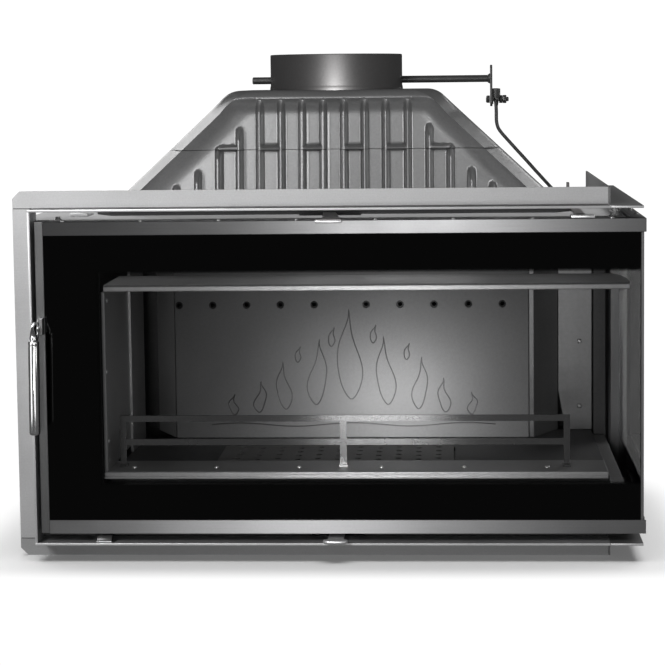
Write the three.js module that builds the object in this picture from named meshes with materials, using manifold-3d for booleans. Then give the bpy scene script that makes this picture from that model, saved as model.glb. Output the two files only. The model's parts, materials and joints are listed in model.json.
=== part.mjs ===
// Cast-iron fireplace insert with corner glass: a glazed front and a glazed right side in one hinged door,
// a ribbed smoke dome with a round flue collar and a rod-worked damper, and a folded steel trim frame.
// Units are millimetres, +Z is up. Y = 0 in the construction below is the plane of the door's front face,
// +Y runs to the back, +X to the glazed side. The whole group is then moved so that the origin lies under
// the middle of the object, on the plane it stands on.
import * as THREE from "three";
import { mergeVertices } from "three/addons/utils/BufferGeometryUtils.js";
import Module from "manifold-3d";

const wasm = await Module();
wasm.setup();

// ---- driving dimensions -------------------------------------------------------------------------
const CENTRE_Y = 290; // distance from the door's front face to the origin
const GAP = 0.3; // clearance left between pieces that touch

// trim frame: folded angle, plate leg towards the room, flange leg on the surround
const TRIM_L = -467.5, TRIM_R = 497; // outer edges of the plate legs
const TRIM_Z0 = 26.5, TRIM_Z1 = 562.5; // underside of the bottom leg, top of the top leg
const TRIM_T = 4; // sheet thickness at the rolled lip
const FLANGE_Y = 50; // set-back of the flange behind the front edges
const FLANGE_L = -501, FLANGE_R = 445.5; // left edge, and the right end where the side flange starts
const FLANGE_Z0 = 0, FLANGE_Z1 = 589.5;
const FLANGE_CUT = 12; // 45 degree corner cut
const DEPTH = 585; // rear end of the side trim

// door: L-shaped in plan, front arm and side arm
const DOOR_L = -457, DOOR_R = 501;
const DOOR_Z0 = 46, DOOR_Z1 = 543;
const RAIL_H = 21.5; // visible height of a rail
const DOOR_T = 26; // thickness of the door frame
const STILE_W = 13.5;
const GLASS_T = 4;
const SIDE_END = 450; // rear end of the side arm
const HINGE_X = 488, HINGE_Y = 439;

// fixed body
const BODY_L = -440, BODY_R = 472;
const WING_X = -463; // left edge of the body's front wing, just inside the trim
const WING_BACK_X = -492; // the wing's edge behind the trim's flange
const BODY_Y0 = 32, BODY_Y1 = 572;
const BASE_H = 116; // height of the hearth base tray
const BASE_R = 445; // right side of its foot
const TOP_Z0 = 531.3, TOP_Z1 = 543; // top plate
const WALL = 10;

// firebox
const FLOOR_Z0 = 116.3, FLOOR_Z1 = 126;
const SILL_Z1 = 137, SILL_Y0 = 41, SILL_Y1 = 134;
const LINTEL_Z0 = 428, LINTEL_Z1 = 438.5;
const LINING_X = -357;
const BACK_Y = 400; // engraved fireback
const REAR_PANEL_Y = 480;
const AIR_HOLES_X = [-287, -227, -166.5, -106.3, -46.2, 46.2, 106.3, 166.5, 227, 287];
const AIR_HOLE_Z = 365, AIR_HOLE_R = 6;
const GRATE = [-195, 200, 165, 305];

// smoke dome and flue
const FLUE_X = 5, FLUE_Y = 290;
const DOME_Z0 = 543.3, DOME_SEAM = 648, DOME_Z1 = 745;
const DOME_WALL = 9;
const COLLAR_R = 112, COLLAR_BORE = 103, COLLAR_Z1 = 804;
const SHAFT_Z = 761, SHAFT_R = 6;
const RIB_X = [-254, -218, -183.5, -149, -115, -79.8, -45, -10.5, 23.5, 57.5, 92, 128, 163.5, 198, 232, 266.5];
const RIB_TOP = [592, 616, 655, 686, 730, 730, 730, 730, 730, 730, 730, 730, 690, 657, 618, 594];

// damper linkage
const CRANK_X = 265; // near face of the crank
const CRANK_R = 35; // shaft centre to bolt centre
const ROD_R = 3;
const ROD_X = 275.5;

// ---- helpers ------------------------------------------------------------------------------------
const insert = new THREE.Group();
insert.position.set(0, -CENTRE_Y, 0);

const finish = {
  castIron: [0x3b3b3c, 0.72, 0.35],
  innerPlate: [0x55565a, 0.5, 0.6],
  steel: [0xb9bbbd, 0.35, 0.9],
  enamel: [0x0a0a0a, 0.2, 0.0],
  brushed: [0x8c8d90, 0.3, 0.95],
  bright: [0xdcdddf, 0.15, 1.0],
  glass: [0x9aa0a4, 0.05, 0.0],
  rope: [0x6f6c67, 0.95, 0.0],
};
const material = (kind) => {
  const [color, roughness, metalness] = finish[kind];
  return new THREE.MeshStandardMaterial({ color, roughness, metalness });
};
const add = (name, geometry, kind) => {
  const mesh = new THREE.Mesh(geometry, material(kind));
  mesh.name = name;
  insert.add(mesh);
  return mesh;
};

const box = (x0, x1, y0, y1, z0, z1) =>
  new THREE.BoxGeometry(x1 - x0, y1 - y0, z1 - z0).translate((x0 + x1) / 2, (y0 + y1) / 2, (z0 + z1) / 2);

const shapeOf = (points) => new THREE.Shape(points.map(([u, v]) => new THREE.Vector2(u, v)));
const extrude = (shape, length) =>
  new THREE.ExtrudeGeometry(shape, { depth: length, bevelEnabled: false, curveSegments: 6 });
// a profile in Y,Z run along X; in X,Z run along Y; in X,Y run along Z
const alongX = (points, x0, x1) =>
  extrude(shapeOf(points), x1 - x0).applyMatrix4(
    new THREE.Matrix4().makeBasis(
      new THREE.Vector3(0, 1, 0), new THREE.Vector3(0, 0, 1), new THREE.Vector3(1, 0, 0)).setPosition(x0, 0, 0));
const alongY = (points, y0, y1) =>
  extrude(shapeOf(points), y1 - y0).applyMatrix4(
    new THREE.Matrix4().makeBasis(
      new THREE.Vector3(1, 0, 0), new THREE.Vector3(0, 0, 1), new THREE.Vector3(0, -1, 0)).setPosition(0, y1, 0));
const alongZ = (points, z0, z1) => extrude(shapeOf(points), z1 - z0).translate(0, 0, z0);

const cylX = (r, x0, x1, y, z, n = 16) =>
  new THREE.CylinderGeometry(r, r, x1 - x0, n).rotateZ(-Math.PI / 2).translate((x0 + x1) / 2, y, z);
const cylY = (r, y0, y1, x, z, n = 16) =>
  new THREE.CylinderGeometry(r, r, y1 - y0, n).translate(x, (y0 + y1) / 2, z);
const cylZ = (r, z0, z1, x, y, n = 16) =>
  new THREE.CylinderGeometry(r, r, z1 - z0, n).rotateX(Math.PI / 2).translate(x, y, (z0 + z1) / 2);

const solid = (geometry) => {
  const g = geometry.clone();
  g.deleteAttribute("normal");
  g.deleteAttribute("uv");
  const m = mergeVertices(g, 1e-3);
  return new wasm.Manifold(new wasm.Mesh({
    numProp: 3,
    vertProperties: new Float32Array(m.attributes.position.array),
    triVerts: new Uint32Array(m.index.array),
  }));
};
const geometryOf = (made) => {
  const m = made.getMesh(), n = m.numProp;
  const position = new Float32Array(m.numVert * 3);
  for (let i = 0; i < m.numVert; i++) position.set(m.vertProperties.subarray(i * n, i * n + 3), i * 3);
  const g = new THREE.BufferGeometry();
  g.setAttribute("position", new THREE.BufferAttribute(position, 3));
  g.setIndex(new THREE.BufferAttribute(new Uint32Array(m.triVerts), 1));
  g.computeVertexNormals();
  return g;
};
const join = (...parts) => parts.map(solid).reduce((a, b) => a.add(b));
const cut = (body, ...tools) => tools.map((t) => solid(t)).reduce((a, b) => a.subtract(b), body);

// closed surface through rings of points, each ring the same count; the last ring joins the first
const ringLoop = (rings) => {
  const n = rings[0].length, k = rings.length, position = [], index = [];
  for (const ring of rings) for (const p of ring) position.push(...p);
  for (let i = 0; i < k; i++) {
    const a = i * n, b = ((i + 1) % k) * n;
    for (let j = 0; j < n; j++) {
      const j2 = (j + 1) % n;
      index.push(a + j, a + j2, b + j2, a + j, b + j2, b + j);
    }
  }
  const g = new THREE.BufferGeometry();
  g.setAttribute("position", new THREE.Float32BufferAttribute(position, 3));
  g.setIndex(index);
  return g;
};

// ---- hearth base: open cast tray that holds the ash pan and the air passage ------------------------
{
  // the right side steps in at the foot, to leave room for the side trim's lower flange
  const tray = cut(
    join(
      box(BODY_L, BASE_R, 60, BODY_Y1, 0, BASE_H), box(BASE_R - 5, BODY_R, 60, BODY_Y1, 30.8, BASE_H),
      box(WING_BACK_X, BODY_L + 5, 60, 64, 20, BASE_H), // wing that closes the gap to the trim
    ),
    box(BODY_L + WALL, BASE_R - WALL, 60 + WALL, BODY_Y1 - WALL, 10, BASE_H + 5),
    box(BASE_R - WALL - 5, BODY_R - WALL, 60 + WALL, BODY_Y1 - WALL, 41, BASE_H + 5),
    box(-30, 55, 55, 75, 29, 41), // slot for the air lever
  );
  add("hearth_base", geometryOf(tray), "castIron");
}

// ---- fixed front frame, behind the enamelled border of the glass ------------------------------------
add("frame_footer", box(BODY_L, BODY_R, BODY_Y0, 59.7, 46, 115.7), "castIron");
add("frame_post_left", box(BODY_L, -362, BODY_Y0, 42, 116, 467.7), "castIron");
// header over the front, turned back over the glazed side
add("frame_header", geometryOf(join(box(BODY_L, BODY_R, BODY_Y0, 42, 468, TOP_Z1), box(462, BODY_R, 41, 449.7, 468, 531))), "castIron");

// ---- walls ----------------------------------------------------------------------------------------
add("left_wall", geometryOf(join(box(BODY_L, BODY_L + WALL, 42.3, BODY_Y1, FLOOR_Z0, 531), box(WING_X, BODY_L + 5, 42.3, 46, FLOOR_Z0, 531))), "castIron");
add("rear_wall", box(BODY_L + WALL + GAP, 461.7, BODY_Y1 - WALL, BODY_Y1, FLOOR_Z0, 531), "castIron");
add("right_wall", box(462, BODY_R, 457, BODY_Y1, FLOOR_Z0, 531), "castIron");
add("rear_side_panel", box(478.5, 499.5, 458, BODY_Y1, 0.5, TOP_Z1), "castIron");
add("right_inner_post", box(450, BODY_R, 450, 456.7, 122.6, 531), "innerPlate");

// ---- top plate with the smoke opening and the air slot ----------------------------------------------
{
  const plate = cut(
    join(box(BODY_L, 478.2, 42.3, BODY_Y1, TOP_Z0, TOP_Z1), box(WING_X, BODY_L + 5, 42.3, 60, TOP_Z0, TOP_Z1), box(WING_BACK_X, BODY_L + 5, FLANGE_Y + 3, 240, TOP_Z0, TOP_Z1)),
    box(-245, 255, 160, 420, TOP_Z0 - 5, TOP_Z1 + 5),
    box(-49, 52, 112, 142, TOP_Z0 - 5, TOP_Z1 + 5),
    box(457, 468, 62, 190, TOP_Z0 - 5, TOP_Z1 + 5), // slot beside the side arm
    box(472.2, 485, 40, 457.5, TOP_Z0 - 5, TOP_Z1 + 5), // room for the door's side arm as it turns
  );
  add("top_plate", geometryOf(plate), "castIron");
}

// ---- firebox furniture ------------------------------------------------------------------------------
// sill shelf with a stepped nose
add("sill_plate", alongX([[SILL_Y0, 125.3], [58, 125.3], [58, 126.3], [SILL_Y1, 126.3], [SILL_Y1, SILL_Z1], [SILL_Y0 + 3, SILL_Z1],
  [SILL_Y0 + 1, SILL_Z1 - 1.5], [SILL_Y0 + 1, 130], [SILL_Y0, 129.3]], -361.5, 445.5), "innerPlate");
// floor: one plate with the grate's opening, two ledges under the grate
{
  const floor = cut(
    join(box(-354, 448.5, 60, 399.5, FLOOR_Z0, FLOOR_Z1), box(343, 448.5, 390, 479.5, FLOOR_Z0, FLOOR_Z1)),
    box(GRATE[0] + 12, GRATE[1] - 12, GRATE[2] - 2, GRATE[3] + 2, FLOOR_Z0 - 5, FLOOR_Z1 + 5),
    box(GRATE[0] - 2, GRATE[1] + 2, GRATE[2] - 2, GRATE[3] + 2, 119.7, FLOOR_Z1 + 5),
  );
  add("firebox_floor", geometryOf(floor), "castIron");
}
add("side_sill", alongY([[449, 116.3], [470, 116.3], [470, 122], [449, 122]], 43, 449.7), "innerPlate");

// grate: plate with staggered holes, resting on the floor plates' edges
{
  const [x0, x1, y0, y1] = GRATE;
  let grate = solid(box(x0, x1, y0, y1, 120, 130));
  const cols = 11, pitch = 33.7, first = -162.5;
  const holes = [];
  for (let c = 0; c < cols; c++)
    for (let r = 0; r < 4; r++) {
      const x = first + c * pitch, y = y0 + 20 + r * 33.5 + (c % 2 ? -4.5 : 4.5);
      holes.push(cylZ(5.6, 110, 140, x, y, 6));
    }
  grate = cut(grate, ...holes);
  add("grate", geometryOf(grate), "castIron");
}

// ash pan: open tray under the grate, with a turned-out rim
{
  const pan = cut(join(box(-150, 155, 172, 298, 14, 84)), box(-147, 152, 175, 295, 17, 90));
  add("ash_pan", geometryOf(pan), "steel");
}

// inner side plates and the raised fireback box
add("left_lining_front", box(LINING_X - 4, -355, SILL_Y0, 265, SILL_Z1 + GAP, 427.7), "innerPlate");
add("left_lining_rear", box(LINING_X + 1, -351, 266, 404, FLOOR_Z1 + GAP, 455), "innerPlate");
{
  const plate = cut(
    solid(box(-295, 333, BACK_Y, BACK_Y + 9, FLOOR_Z1 + GAP, 456)),
    ...AIR_HOLES_X.map((x) => cylY(AIR_HOLE_R, BACK_Y - 5, BACK_Y + 15, x, AIR_HOLE_Z, 10)),
  );
  add("fireback", geometryOf(plate), "castIron");
}
add("fireback_return_left", alongZ([[-296, BACK_Y + 2], [-296, BACK_Y + 10], [-331, REAR_PANEL_Y], [-338, REAR_PANEL_Y]], FLOOR_Z1 + GAP, 456), "innerPlate");
add("fireback_return_right", alongZ([[334, BACK_Y + 1], [342, BACK_Y + 1], [388, 479.6], [380, 479.6]], FLOOR_Z1 + GAP, 456), "innerPlate");
// right rear panel with its lower left corner cut away
add("right_lining", alongY([[402, FLOOR_Z1 + GAP], [449, FLOOR_Z1 + GAP], [449, 456], [389, 456], [389, 196]], REAR_PANEL_Y, REAR_PANEL_Y + 6), "innerPlate");
add("baffle_plate", alongX([[196, 503], [545, 460], [545, 472], [196, 515]], -349, 449), "castIron");
// its right end runs past the frame towards the side pane, with a rounded corner, then slants back to the frame
{
  const blank = alongX([[41, LINTEL_Z0 + 1], [42, LINTEL_Z0], [190, LINTEL_Z0], [190, LINTEL_Z1], [44, LINTEL_Z1], [41, LINTEL_Z1 - 2.5]], -357, 481);
  const end = alongZ([[475, 30], [500, 30], [500, 200], [460, 200], [475, 160], [481, 110], [481, 48], [479.5, 43.5]], LINTEL_Z0 - 5, LINTEL_Z1 + 5);
  add("inner_lintel", geometryOf(cut(solid(blank), end)), "innerPlate");
}

// log guard: two flat bars on three posts with foot pads
{
  const y0 = 83, y1 = 87;
  const guard = join(
    box(-342, 387, y0, y1, 211, 221),
    box(-342, 387, y0, y1, 172.5, 182.5),
    box(-342, -332, y0, y1, SILL_Z1 + GAP, 221),
    box(16, 27, y0, y1, SILL_Z1 + GAP, 221),
    box(377, 387, y0, y1, SILL_Z1 + GAP, 221),
    box(-343.5, -330.5, 78, 97, SILL_Z1 + GAP, 140.3),
    box(14.5, 28.5, 78, 97, SILL_Z1 + GAP, 140.3),
    box(375.5, 388.5, 78, 97, SILL_Z1 + GAP, 140.3),
  );
  add("log_guard", geometryOf(guard), "innerPlate");
}

// ---- trim frame ---------------------------------------------------------------------------------
{
  const c = FLANGE_CUT, T = 3;
  // top: plate leg and flange leg, with the flange running over the left corner
  const top = join(
    box(TRIM_L, FLANGE_R, 0, FLANGE_Y, TRIM_Z1 - TRIM_T, TRIM_Z1),
    alongY([[TRIM_L - 0.5, TRIM_Z1 - 0.5], [FLANGE_R, TRIM_Z1 - 0.5], [FLANGE_R, FLANGE_Z1], [FLANGE_L + c, FLANGE_Z1], [FLANGE_L, FLANGE_Z1 - c], [FLANGE_L, TRIM_Z1 - 0.5]], FLANGE_Y - T, FLANGE_Y),
  );
  add("trim_top", geometryOf(top), "steel");
  const bottom = join(
    box(TRIM_L, FLANGE_R, 0, FLANGE_Y, TRIM_Z0, TRIM_Z0 + TRIM_T),
    alongY([[FLANGE_L, TRIM_Z0 + 0.5], [FLANGE_L, FLANGE_Z0 + c], [FLANGE_L + c, FLANGE_Z0], [FLANGE_R, FLANGE_Z0], [FLANGE_R, TRIM_Z0 + 0.5]], FLANGE_Y - T, FLANGE_Y),
  );
  add("trim_bottom", geometryOf(bottom), "steel");
  const left = join(
    box(TRIM_L, TRIM_L + TRIM_T, 0, FLANGE_Y, TRIM_Z0 + TRIM_T + GAP, TRIM_Z1 - TRIM_T - GAP),
    box(FLANGE_L, TRIM_L - GAP, FLANGE_Y - T, FLANGE_Y, TRIM_Z0 + 0.8, TRIM_Z1 - 0.8),
    box(TRIM_L - 1, TRIM_L + 1, FLANGE_Y - T, FLANGE_Y, TRIM_Z0 + TRIM_T + GAP, TRIM_Z1 - TRIM_T - GAP),
  );
  add("trim_left", geometryOf(left), "steel");
  // right-hand side: the same angle turned back along the glazed side
  const sideTop = join(
    box(FLANGE_R + GAP, TRIM_R, 0, DEPTH, TRIM_Z1 - TRIM_T, TRIM_Z1),
    box(FLANGE_R + GAP, FLANGE_R + GAP + 3, FLANGE_Y - T, DEPTH, TRIM_Z1 - 0.5, FLANGE_Z1),
  );
  add("trim_side_top", geometryOf(sideTop), "steel");
  const sideBottom = join(
    alongZ([[FLANGE_R + GAP, 0], [TRIM_R, 0], [TRIM_R, 457.5], [478, 457.5], [478, DEPTH], [FLANGE_R + GAP, DEPTH]], TRIM_Z0, TRIM_Z0 + TRIM_T),
    box(FLANGE_R + GAP, FLANGE_R + GAP + 3, FLANGE_Y - T, DEPTH, 0, TRIM_Z0 + 0.5),
  );
  add("trim_side_bottom", geometryOf(sideBottom), "steel");
}

// ---- smoke dome -----------------------------------------------------------------------------------
// outline at a height: a rectangle with cut corners, smaller towards the top
const domeRing = (z, inset = 0) => {
  const hx = 181.6 + (732.8 - z) * 1.069 - inset * 1.4, hy = 124 + (DOME_Z1 - z) * 0.09 - inset;
  const cx = 27, cy = 38;
  const corner = [
    [hx, -hy + cy], [hx, hy - cy], [hx - cx, hy], [-hx + cx, hy],
    [-hx, hy - cy], [-hx, -hy + cy], [-hx + cx, -hy], [hx - cx, -hy],
  ];
  const ring = [];
  for (let i = 0; i < 8; i++) {
    const a = corner[i], b = corner[(i + 1) % 8], k = 4;
    for (let j = 0; j < k; j++)
      ring.push([FLUE_X + a[0] + ((b[0] - a[0]) * j) / k, FLUE_Y + a[1] + ((b[1] - a[1]) * j) / k, z]);
  }
  return ring;
};
const circleLike = (ring, r, z) =>
  ring.map(([x, y]) => {
    const a = Math.atan2(y - FLUE_Y, x - FLUE_X);
    return [FLUE_X + r * Math.cos(a), FLUE_Y + r * Math.sin(a), z];
  });
const domeFront = (z) => FLUE_Y - (124 + (DOME_Z1 - z) * 0.09);
const rib = (x, z0, z1) => {
  const taper = Math.min(14, (z1 - z0) * 0.6);
  return alongX([[domeFront(z0) + 3, z0], [domeFront(z0) - 13, z0], [domeFront(z1 - taper) - 11, z1 - taper], [domeFront(z1) - 4, z1], [domeFront(z1) + 3, z1]], x - 2.5, x + 2.5);
};
const bridges = [[3, 2], [5, 4], [7, 6], [9, 8], [11, 10], [13, 12]].map(([b, a]) => [RIB_X[a], RIB_X[b]]);
{
  const outer0 = domeRing(DOME_Z0), outer1 = domeRing(DOME_SEAM - GAP);
  const inner1 = domeRing(DOME_SEAM - GAP, DOME_WALL), inner0 = domeRing(DOME_Z0, DOME_WALL);
  let lower = solid(ringLoop([outer0, outer1, inner1, inner0]));
  RIB_X.forEach((x, i) => {
    lower = lower.add(solid(rib(x, DOME_Z0 + 4, Math.min(RIB_TOP[i], DOME_SEAM - GAP))));
  });
  bridges.forEach(([a, b]) => {
    const f = domeFront(DOME_SEAM - 6);
    lower = lower.add(solid(box(a, b, f - 9, f + 3, DOME_SEAM - 7, DOME_SEAM - GAP)));
  });
  add("dome_lower", geometryOf(lower), "castIron");

  const o0 = domeRing(DOME_SEAM), o1 = domeRing(DOME_Z1 - 13), o2 = domeRing(DOME_Z1, 8);
  const c0 = circleLike(o2, COLLAR_BORE, DOME_Z1), c1 = circleLike(o2, COLLAR_BORE, DOME_Z1 - DOME_WALL);
  const i1 = domeRing(DOME_Z1 - DOME_WALL - 5, DOME_WALL + 6), i0 = domeRing(DOME_SEAM, DOME_WALL);
  let upper = solid(ringLoop([o0, o1, o2, c0, c1, i1, i0]));
  RIB_X.forEach((x, i) => {
    if (RIB_TOP[i] > DOME_SEAM + 3) upper = upper.add(solid(rib(x, DOME_SEAM, RIB_TOP[i])));
  });
  bridges.forEach(([a, b]) => {
    const f = domeFront(DOME_SEAM + 4);
    upper = upper.add(solid(box(a, b, f - 9, f + 3, DOME_SEAM, DOME_SEAM + 6)));
  });
  add("dome_upper", geometryOf(upper), "castIron");
}

// ---- flue collar and damper -------------------------------------------------------------------------
{
  const profile = [
    [COLLAR_BORE, DOME_Z1 + GAP], [COLLAR_R + 2, DOME_Z1 + GAP], [COLLAR_R, DOME_Z1 + 8], [COLLAR_R, COLLAR_Z1 - 1.5],
    [COLLAR_R - 1.5, COLLAR_Z1], [COLLAR_BORE, COLLAR_Z1], [COLLAR_BORE, DOME_Z1 + GAP],
  ].map(([r, z]) => new THREE.Vector2(r, z));
  const ring = new THREE.LatheGeometry(profile, 48).rotateX(Math.PI / 2).translate(FLUE_X, FLUE_Y, 0);
  const collar = cut(solid(ring), cylX(SHAFT_R + GAP, FLUE_X - 130, FLUE_X + 130, FLUE_Y, SHAFT_Z, 16));
  add("flue_collar", geometryOf(collar), "castIron");
}
add("damper_shaft", cylX(SHAFT_R, -137, CRANK_X - GAP, FLUE_Y, SHAFT_Z, 16), "steel");
{
  // plate on top of the shaft, with a notch that always leaves some draught
  const disc = cut(
    solid(cylZ(100, SHAFT_Z + SHAFT_R + GAP, SHAFT_Z + SHAFT_R + GAP + 4, FLUE_X, FLUE_Y, 40)),
    box(FLUE_X - 28, FLUE_X + 28, FLUE_Y - 110, FLUE_Y - 72, SHAFT_Z, SHAFT_Z + 20),
  );
  add("damper_disc", geometryOf(disc), "castIron");
}
{
  const half = 8;
  const outline = new THREE.Shape();
  outline.moveTo(FLUE_Y - half, SHAFT_Z + 5);
  outline.absarc(FLUE_Y, SHAFT_Z + 4, half, Math.PI, 0, true);
  outline.lineTo(FLUE_Y + half, SHAFT_Z - CRANK_R - 4);
  outline.absarc(FLUE_Y, SHAFT_Z - CRANK_R - 4, half, 0, Math.PI, true);
  outline.closePath();
  const plate = extrude(outline, 4).applyMatrix4(
    new THREE.Matrix4().makeBasis(
      new THREE.Vector3(0, 1, 0), new THREE.Vector3(0, 0, 1), new THREE.Vector3(1, 0, 0)).setPosition(CRANK_X, 0, 0));
  const lever = cut(solid(plate), cylX(4.3, CRANK_X - 5, CRANK_X + 10, FLUE_Y, SHAFT_Z - CRANK_R, 12));
  add("damper_lever", geometryOf(lever), "steel");
}
{
  const z = SHAFT_Z - CRANK_R;
  const bolt = join(
    cylX(4, 260, 290, FLUE_Y, z, 12),
    cylX(7, 259.5, CRANK_X - GAP, FLUE_Y, z, 6),
    cylX(7, 283, 289, FLUE_Y, z, 6),
  );
  add("crank_bolt", geometryOf(bolt), "bright");
}
// link rod: clamped on the bolt, straight down, bent to follow the dome's slope, hooked through the control
{
  const z = SHAFT_Z - CRANK_R;
  const path = new THREE.CurvePath();
  const p = [
    [ROD_X, 743], [ROD_X, 684], [279, 673], [382, 560], [386, 555.5], [391, 554], [404, 554],
  ].map(([x, zz]) => new THREE.Vector3(x, FLUE_Y, zz));
  const curve = new THREE.CatmullRomCurve3([
    p[0], new THREE.Vector3(ROD_X, FLUE_Y, 715), p[1], p[2],
    new THREE.Vector3(305, FLUE_Y, 644.5), new THREE.Vector3(345, FLUE_Y, 600.6), new THREE.Vector3(374, FLUE_Y, 568.8), p[4], p[5], p[6],
  ], false, "centripetal");
  const section = new THREE.Shape(
    Array.from({ length: 8 }, (_, i) => new THREE.Vector2(ROD_R * Math.cos((i * Math.PI) / 4), ROD_R * Math.sin((i * Math.PI) / 4))));
  const rod = new THREE.ExtrudeGeometry(section, { steps: 40, extrudePath: curve, bevelEnabled: false });
  const eye = cut(
    join(box(270, 282, FLUE_Y - 8, FLUE_Y + 8, z - 8, z + 8), rod),
    cylX(4.3, 265, 290, FLUE_Y, z, 12),
  );
  add("link_rod", geometryOf(eye), "bright");
}
// control bar: flat grip at the front, bar along the top plate, upright with a slot for the rod's end
{
  const upright = cut(
    solid(box(394, 398, FLUE_Y - 12, FLUE_Y + 12, 544.5, 584)),
    box(390, 402, FLUE_Y - 5.5, FLUE_Y + 5.5, 549.5, 577),
  );
  const bar = join(
    box(385, 420, -4, 28, 544.3, 547.3),
    box(394, 408, 20, FLUE_Y + 12, 544.3, 547.8),
  ).add(upright);
  add("damper_control", geometryOf(bar), "bright");
}

// ---- air controls -----------------------------------------------------------------------------------
{
  // secondary air: tab through the slot of the top plate, shutter below it, thumb lip over the door's rail
  const slider = join(
    alongZ([[0, -30], [28, -30], [10.5, 131], [-10.5, 131]], 544.2, 547),
    box(-11, 29, -35, -28, 541, 547),
    box(-10, 10, 120, 131, 526, 547),
    box(-75, 69, 108, 146, 525.5, 528.5),
  );
  add("air_slider", geometryOf(slider), "bright");
}
{
  // primary air: rounded paddle under the door, neck over the bottom trim, shutter inside the base
  const paddle = new THREE.Shape();
  paddle.moveTo(-6, -4);
  paddle.quadraticCurveTo(-6, -13, 3, -14.5);
  paddle.lineTo(22, -14.5);
  paddle.quadraticCurveTo(31, -13, 31, -4);
  paddle.lineTo(25, 2);
  paddle.lineTo(24, 118);
  paddle.lineTo(1, 118);
  paddle.lineTo(0, 2);
  paddle.closePath();
  const lever = solid(extrude(paddle, 4.5).translate(0, 0, 32.5)).add(solid(box(-60, 85, 112, 140, 31.5, 38)));
  add("air_lever", geometryOf(lever), "bright");
}

// ---- door -----------------------------------------------------------------------------------------
{
  const t = 3, zi = RAIL_H;
  // top rail: face, top return and back lip
  const topProfile = [[0, DOOR_Z1 - zi], [t, DOOR_Z1 - zi], [t, DOOR_Z1 - t], [DOOR_T - 3, DOOR_Z1 - t], [DOOR_T - 3, DOOR_Z1 - zi], [DOOR_T, DOOR_Z1 - zi], [DOOR_T, DOOR_Z1], [0, DOOR_Z1]];
  // both front rails are notched where the side pane passes
  const paneNotch = (z0, z1) => box(493.2, DOOR_R - t, t, DOOR_T + 1, z0, z1);
  add("door_top_rail", geometryOf(cut(solid(alongX(topProfile, DOOR_L + STILE_W + GAP, DOOR_R)), paneNotch(DOOR_Z1 - zi - 1, DOOR_Z1 - t))), "brushed");
  const bottomProfile = [[0, DOOR_Z0], [DOOR_T, DOOR_Z0], [DOOR_T, DOOR_Z0 + zi], [DOOR_T - 3, DOOR_Z0 + zi], [DOOR_T - 3, DOOR_Z0 + t], [t, DOOR_Z0 + t], [t, DOOR_Z0 + zi], [0, DOOR_Z0 + zi]];
  add("door_bottom_rail", geometryOf(cut(solid(alongX(bottomProfile, DOOR_L + STILE_W + GAP, DOOR_R)), paneNotch(DOOR_Z0 + t, DOOR_Z0 + zi + 1))), "brushed");
  const sideTop = [[DOOR_R, DOOR_Z1 - zi], [DOOR_R, DOOR_Z1], [479, DOOR_Z1], [479, DOOR_Z1 - zi], [482, DOOR_Z1 - zi], [482, DOOR_Z1 - t], [DOOR_R - t, DOOR_Z1 - t], [DOOR_R - t, DOOR_Z1 - zi]];
  add("door_side_top_rail", alongY(sideTop, DOOR_T + GAP, 427.7), "brushed");
  const sideBottom = [[DOOR_R, DOOR_Z0], [DOOR_R, DOOR_Z0 + zi], [DOOR_R - t, DOOR_Z0 + zi], [DOOR_R - t, DOOR_Z0 + t], [482, DOOR_Z0 + t], [482, DOOR_Z0 + zi], [479, DOOR_Z0 + zi], [479, DOOR_Z0]];
  add("door_side_bottom_rail", alongY(sideBottom, DOOR_T + GAP, 427.7), "brushed");
  add("door_left_stile", box(DOOR_L, DOOR_L + STILE_W, 2, DOOR_T, DOOR_Z0, DOOR_Z1), "brushed");
  add("door_hinge_stile", box(479, DOOR_R, 428, SIDE_END, DOOR_Z0, DOOR_Z1), "brushed");
  add("front_glass", box(DOOR_L + STILE_W + GAP, DOOR_R - t - GAP, t + GAP, t + GAP + GLASS_T, DOOR_Z0 + 12, DOOR_Z1 - 12), "glass");
  add("side_glass", box(DOOR_R - t - GAP - GLASS_T, DOOR_R - t - GAP, t + 2 * GAP + GLASS_T, 427.7, DOOR_Z0 + 12, DOOR_Z1 - 12), "glass");
  // rope seals on the back of the frame, squeezed against the fixed frame
  add("seal_upper", geometryOf(join(box(-443.7, 478.7, 26.3, 31.7, 523, 531), box(472.3, 478.7, 30, 427.7, 523, 531))), "rope");
  add("seal_lower", geometryOf(join(box(-443.7, 478.7, 26.3, 31.7, 56, 64), box(472.3, 478.7, 30, 427.7, 56, 64))), "rope");
  add("seal_left", box(-451, -444, 26.3, 31.7, 56, 531), "rope");
  add("hinge_pin_upper", cylZ(4, DOOR_Z1 + GAP, 556.5, HINGE_X, HINGE_Y, 16), "steel");
  add("hinge_pin_lower", cylZ(4, 32.5, DOOR_Z0 - GAP, HINGE_X, HINGE_Y, 16), "steel");
}
// fixed hinge plates
{
  const upper = cut(
    join(box(470, 499.5, 426, 480, 547, 553), box(478.5, 499.5, 460, 480, TOP_Z1 + GAP, 548)),
    cylZ(4.4, 540, 560, HINGE_X, HINGE_Y, 16),
  );
  add("hinge_plate_upper", geometryOf(upper), "steel");
  const lower = cut(
    join(box(472.3, 499.5, 426, 457.7, 36, 41)),
    cylZ(4.4, 30, 50, HINGE_X, HINGE_Y, 16),
  );
  add("hinge_plate_lower", geometryOf(lower), "steel");
}

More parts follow.
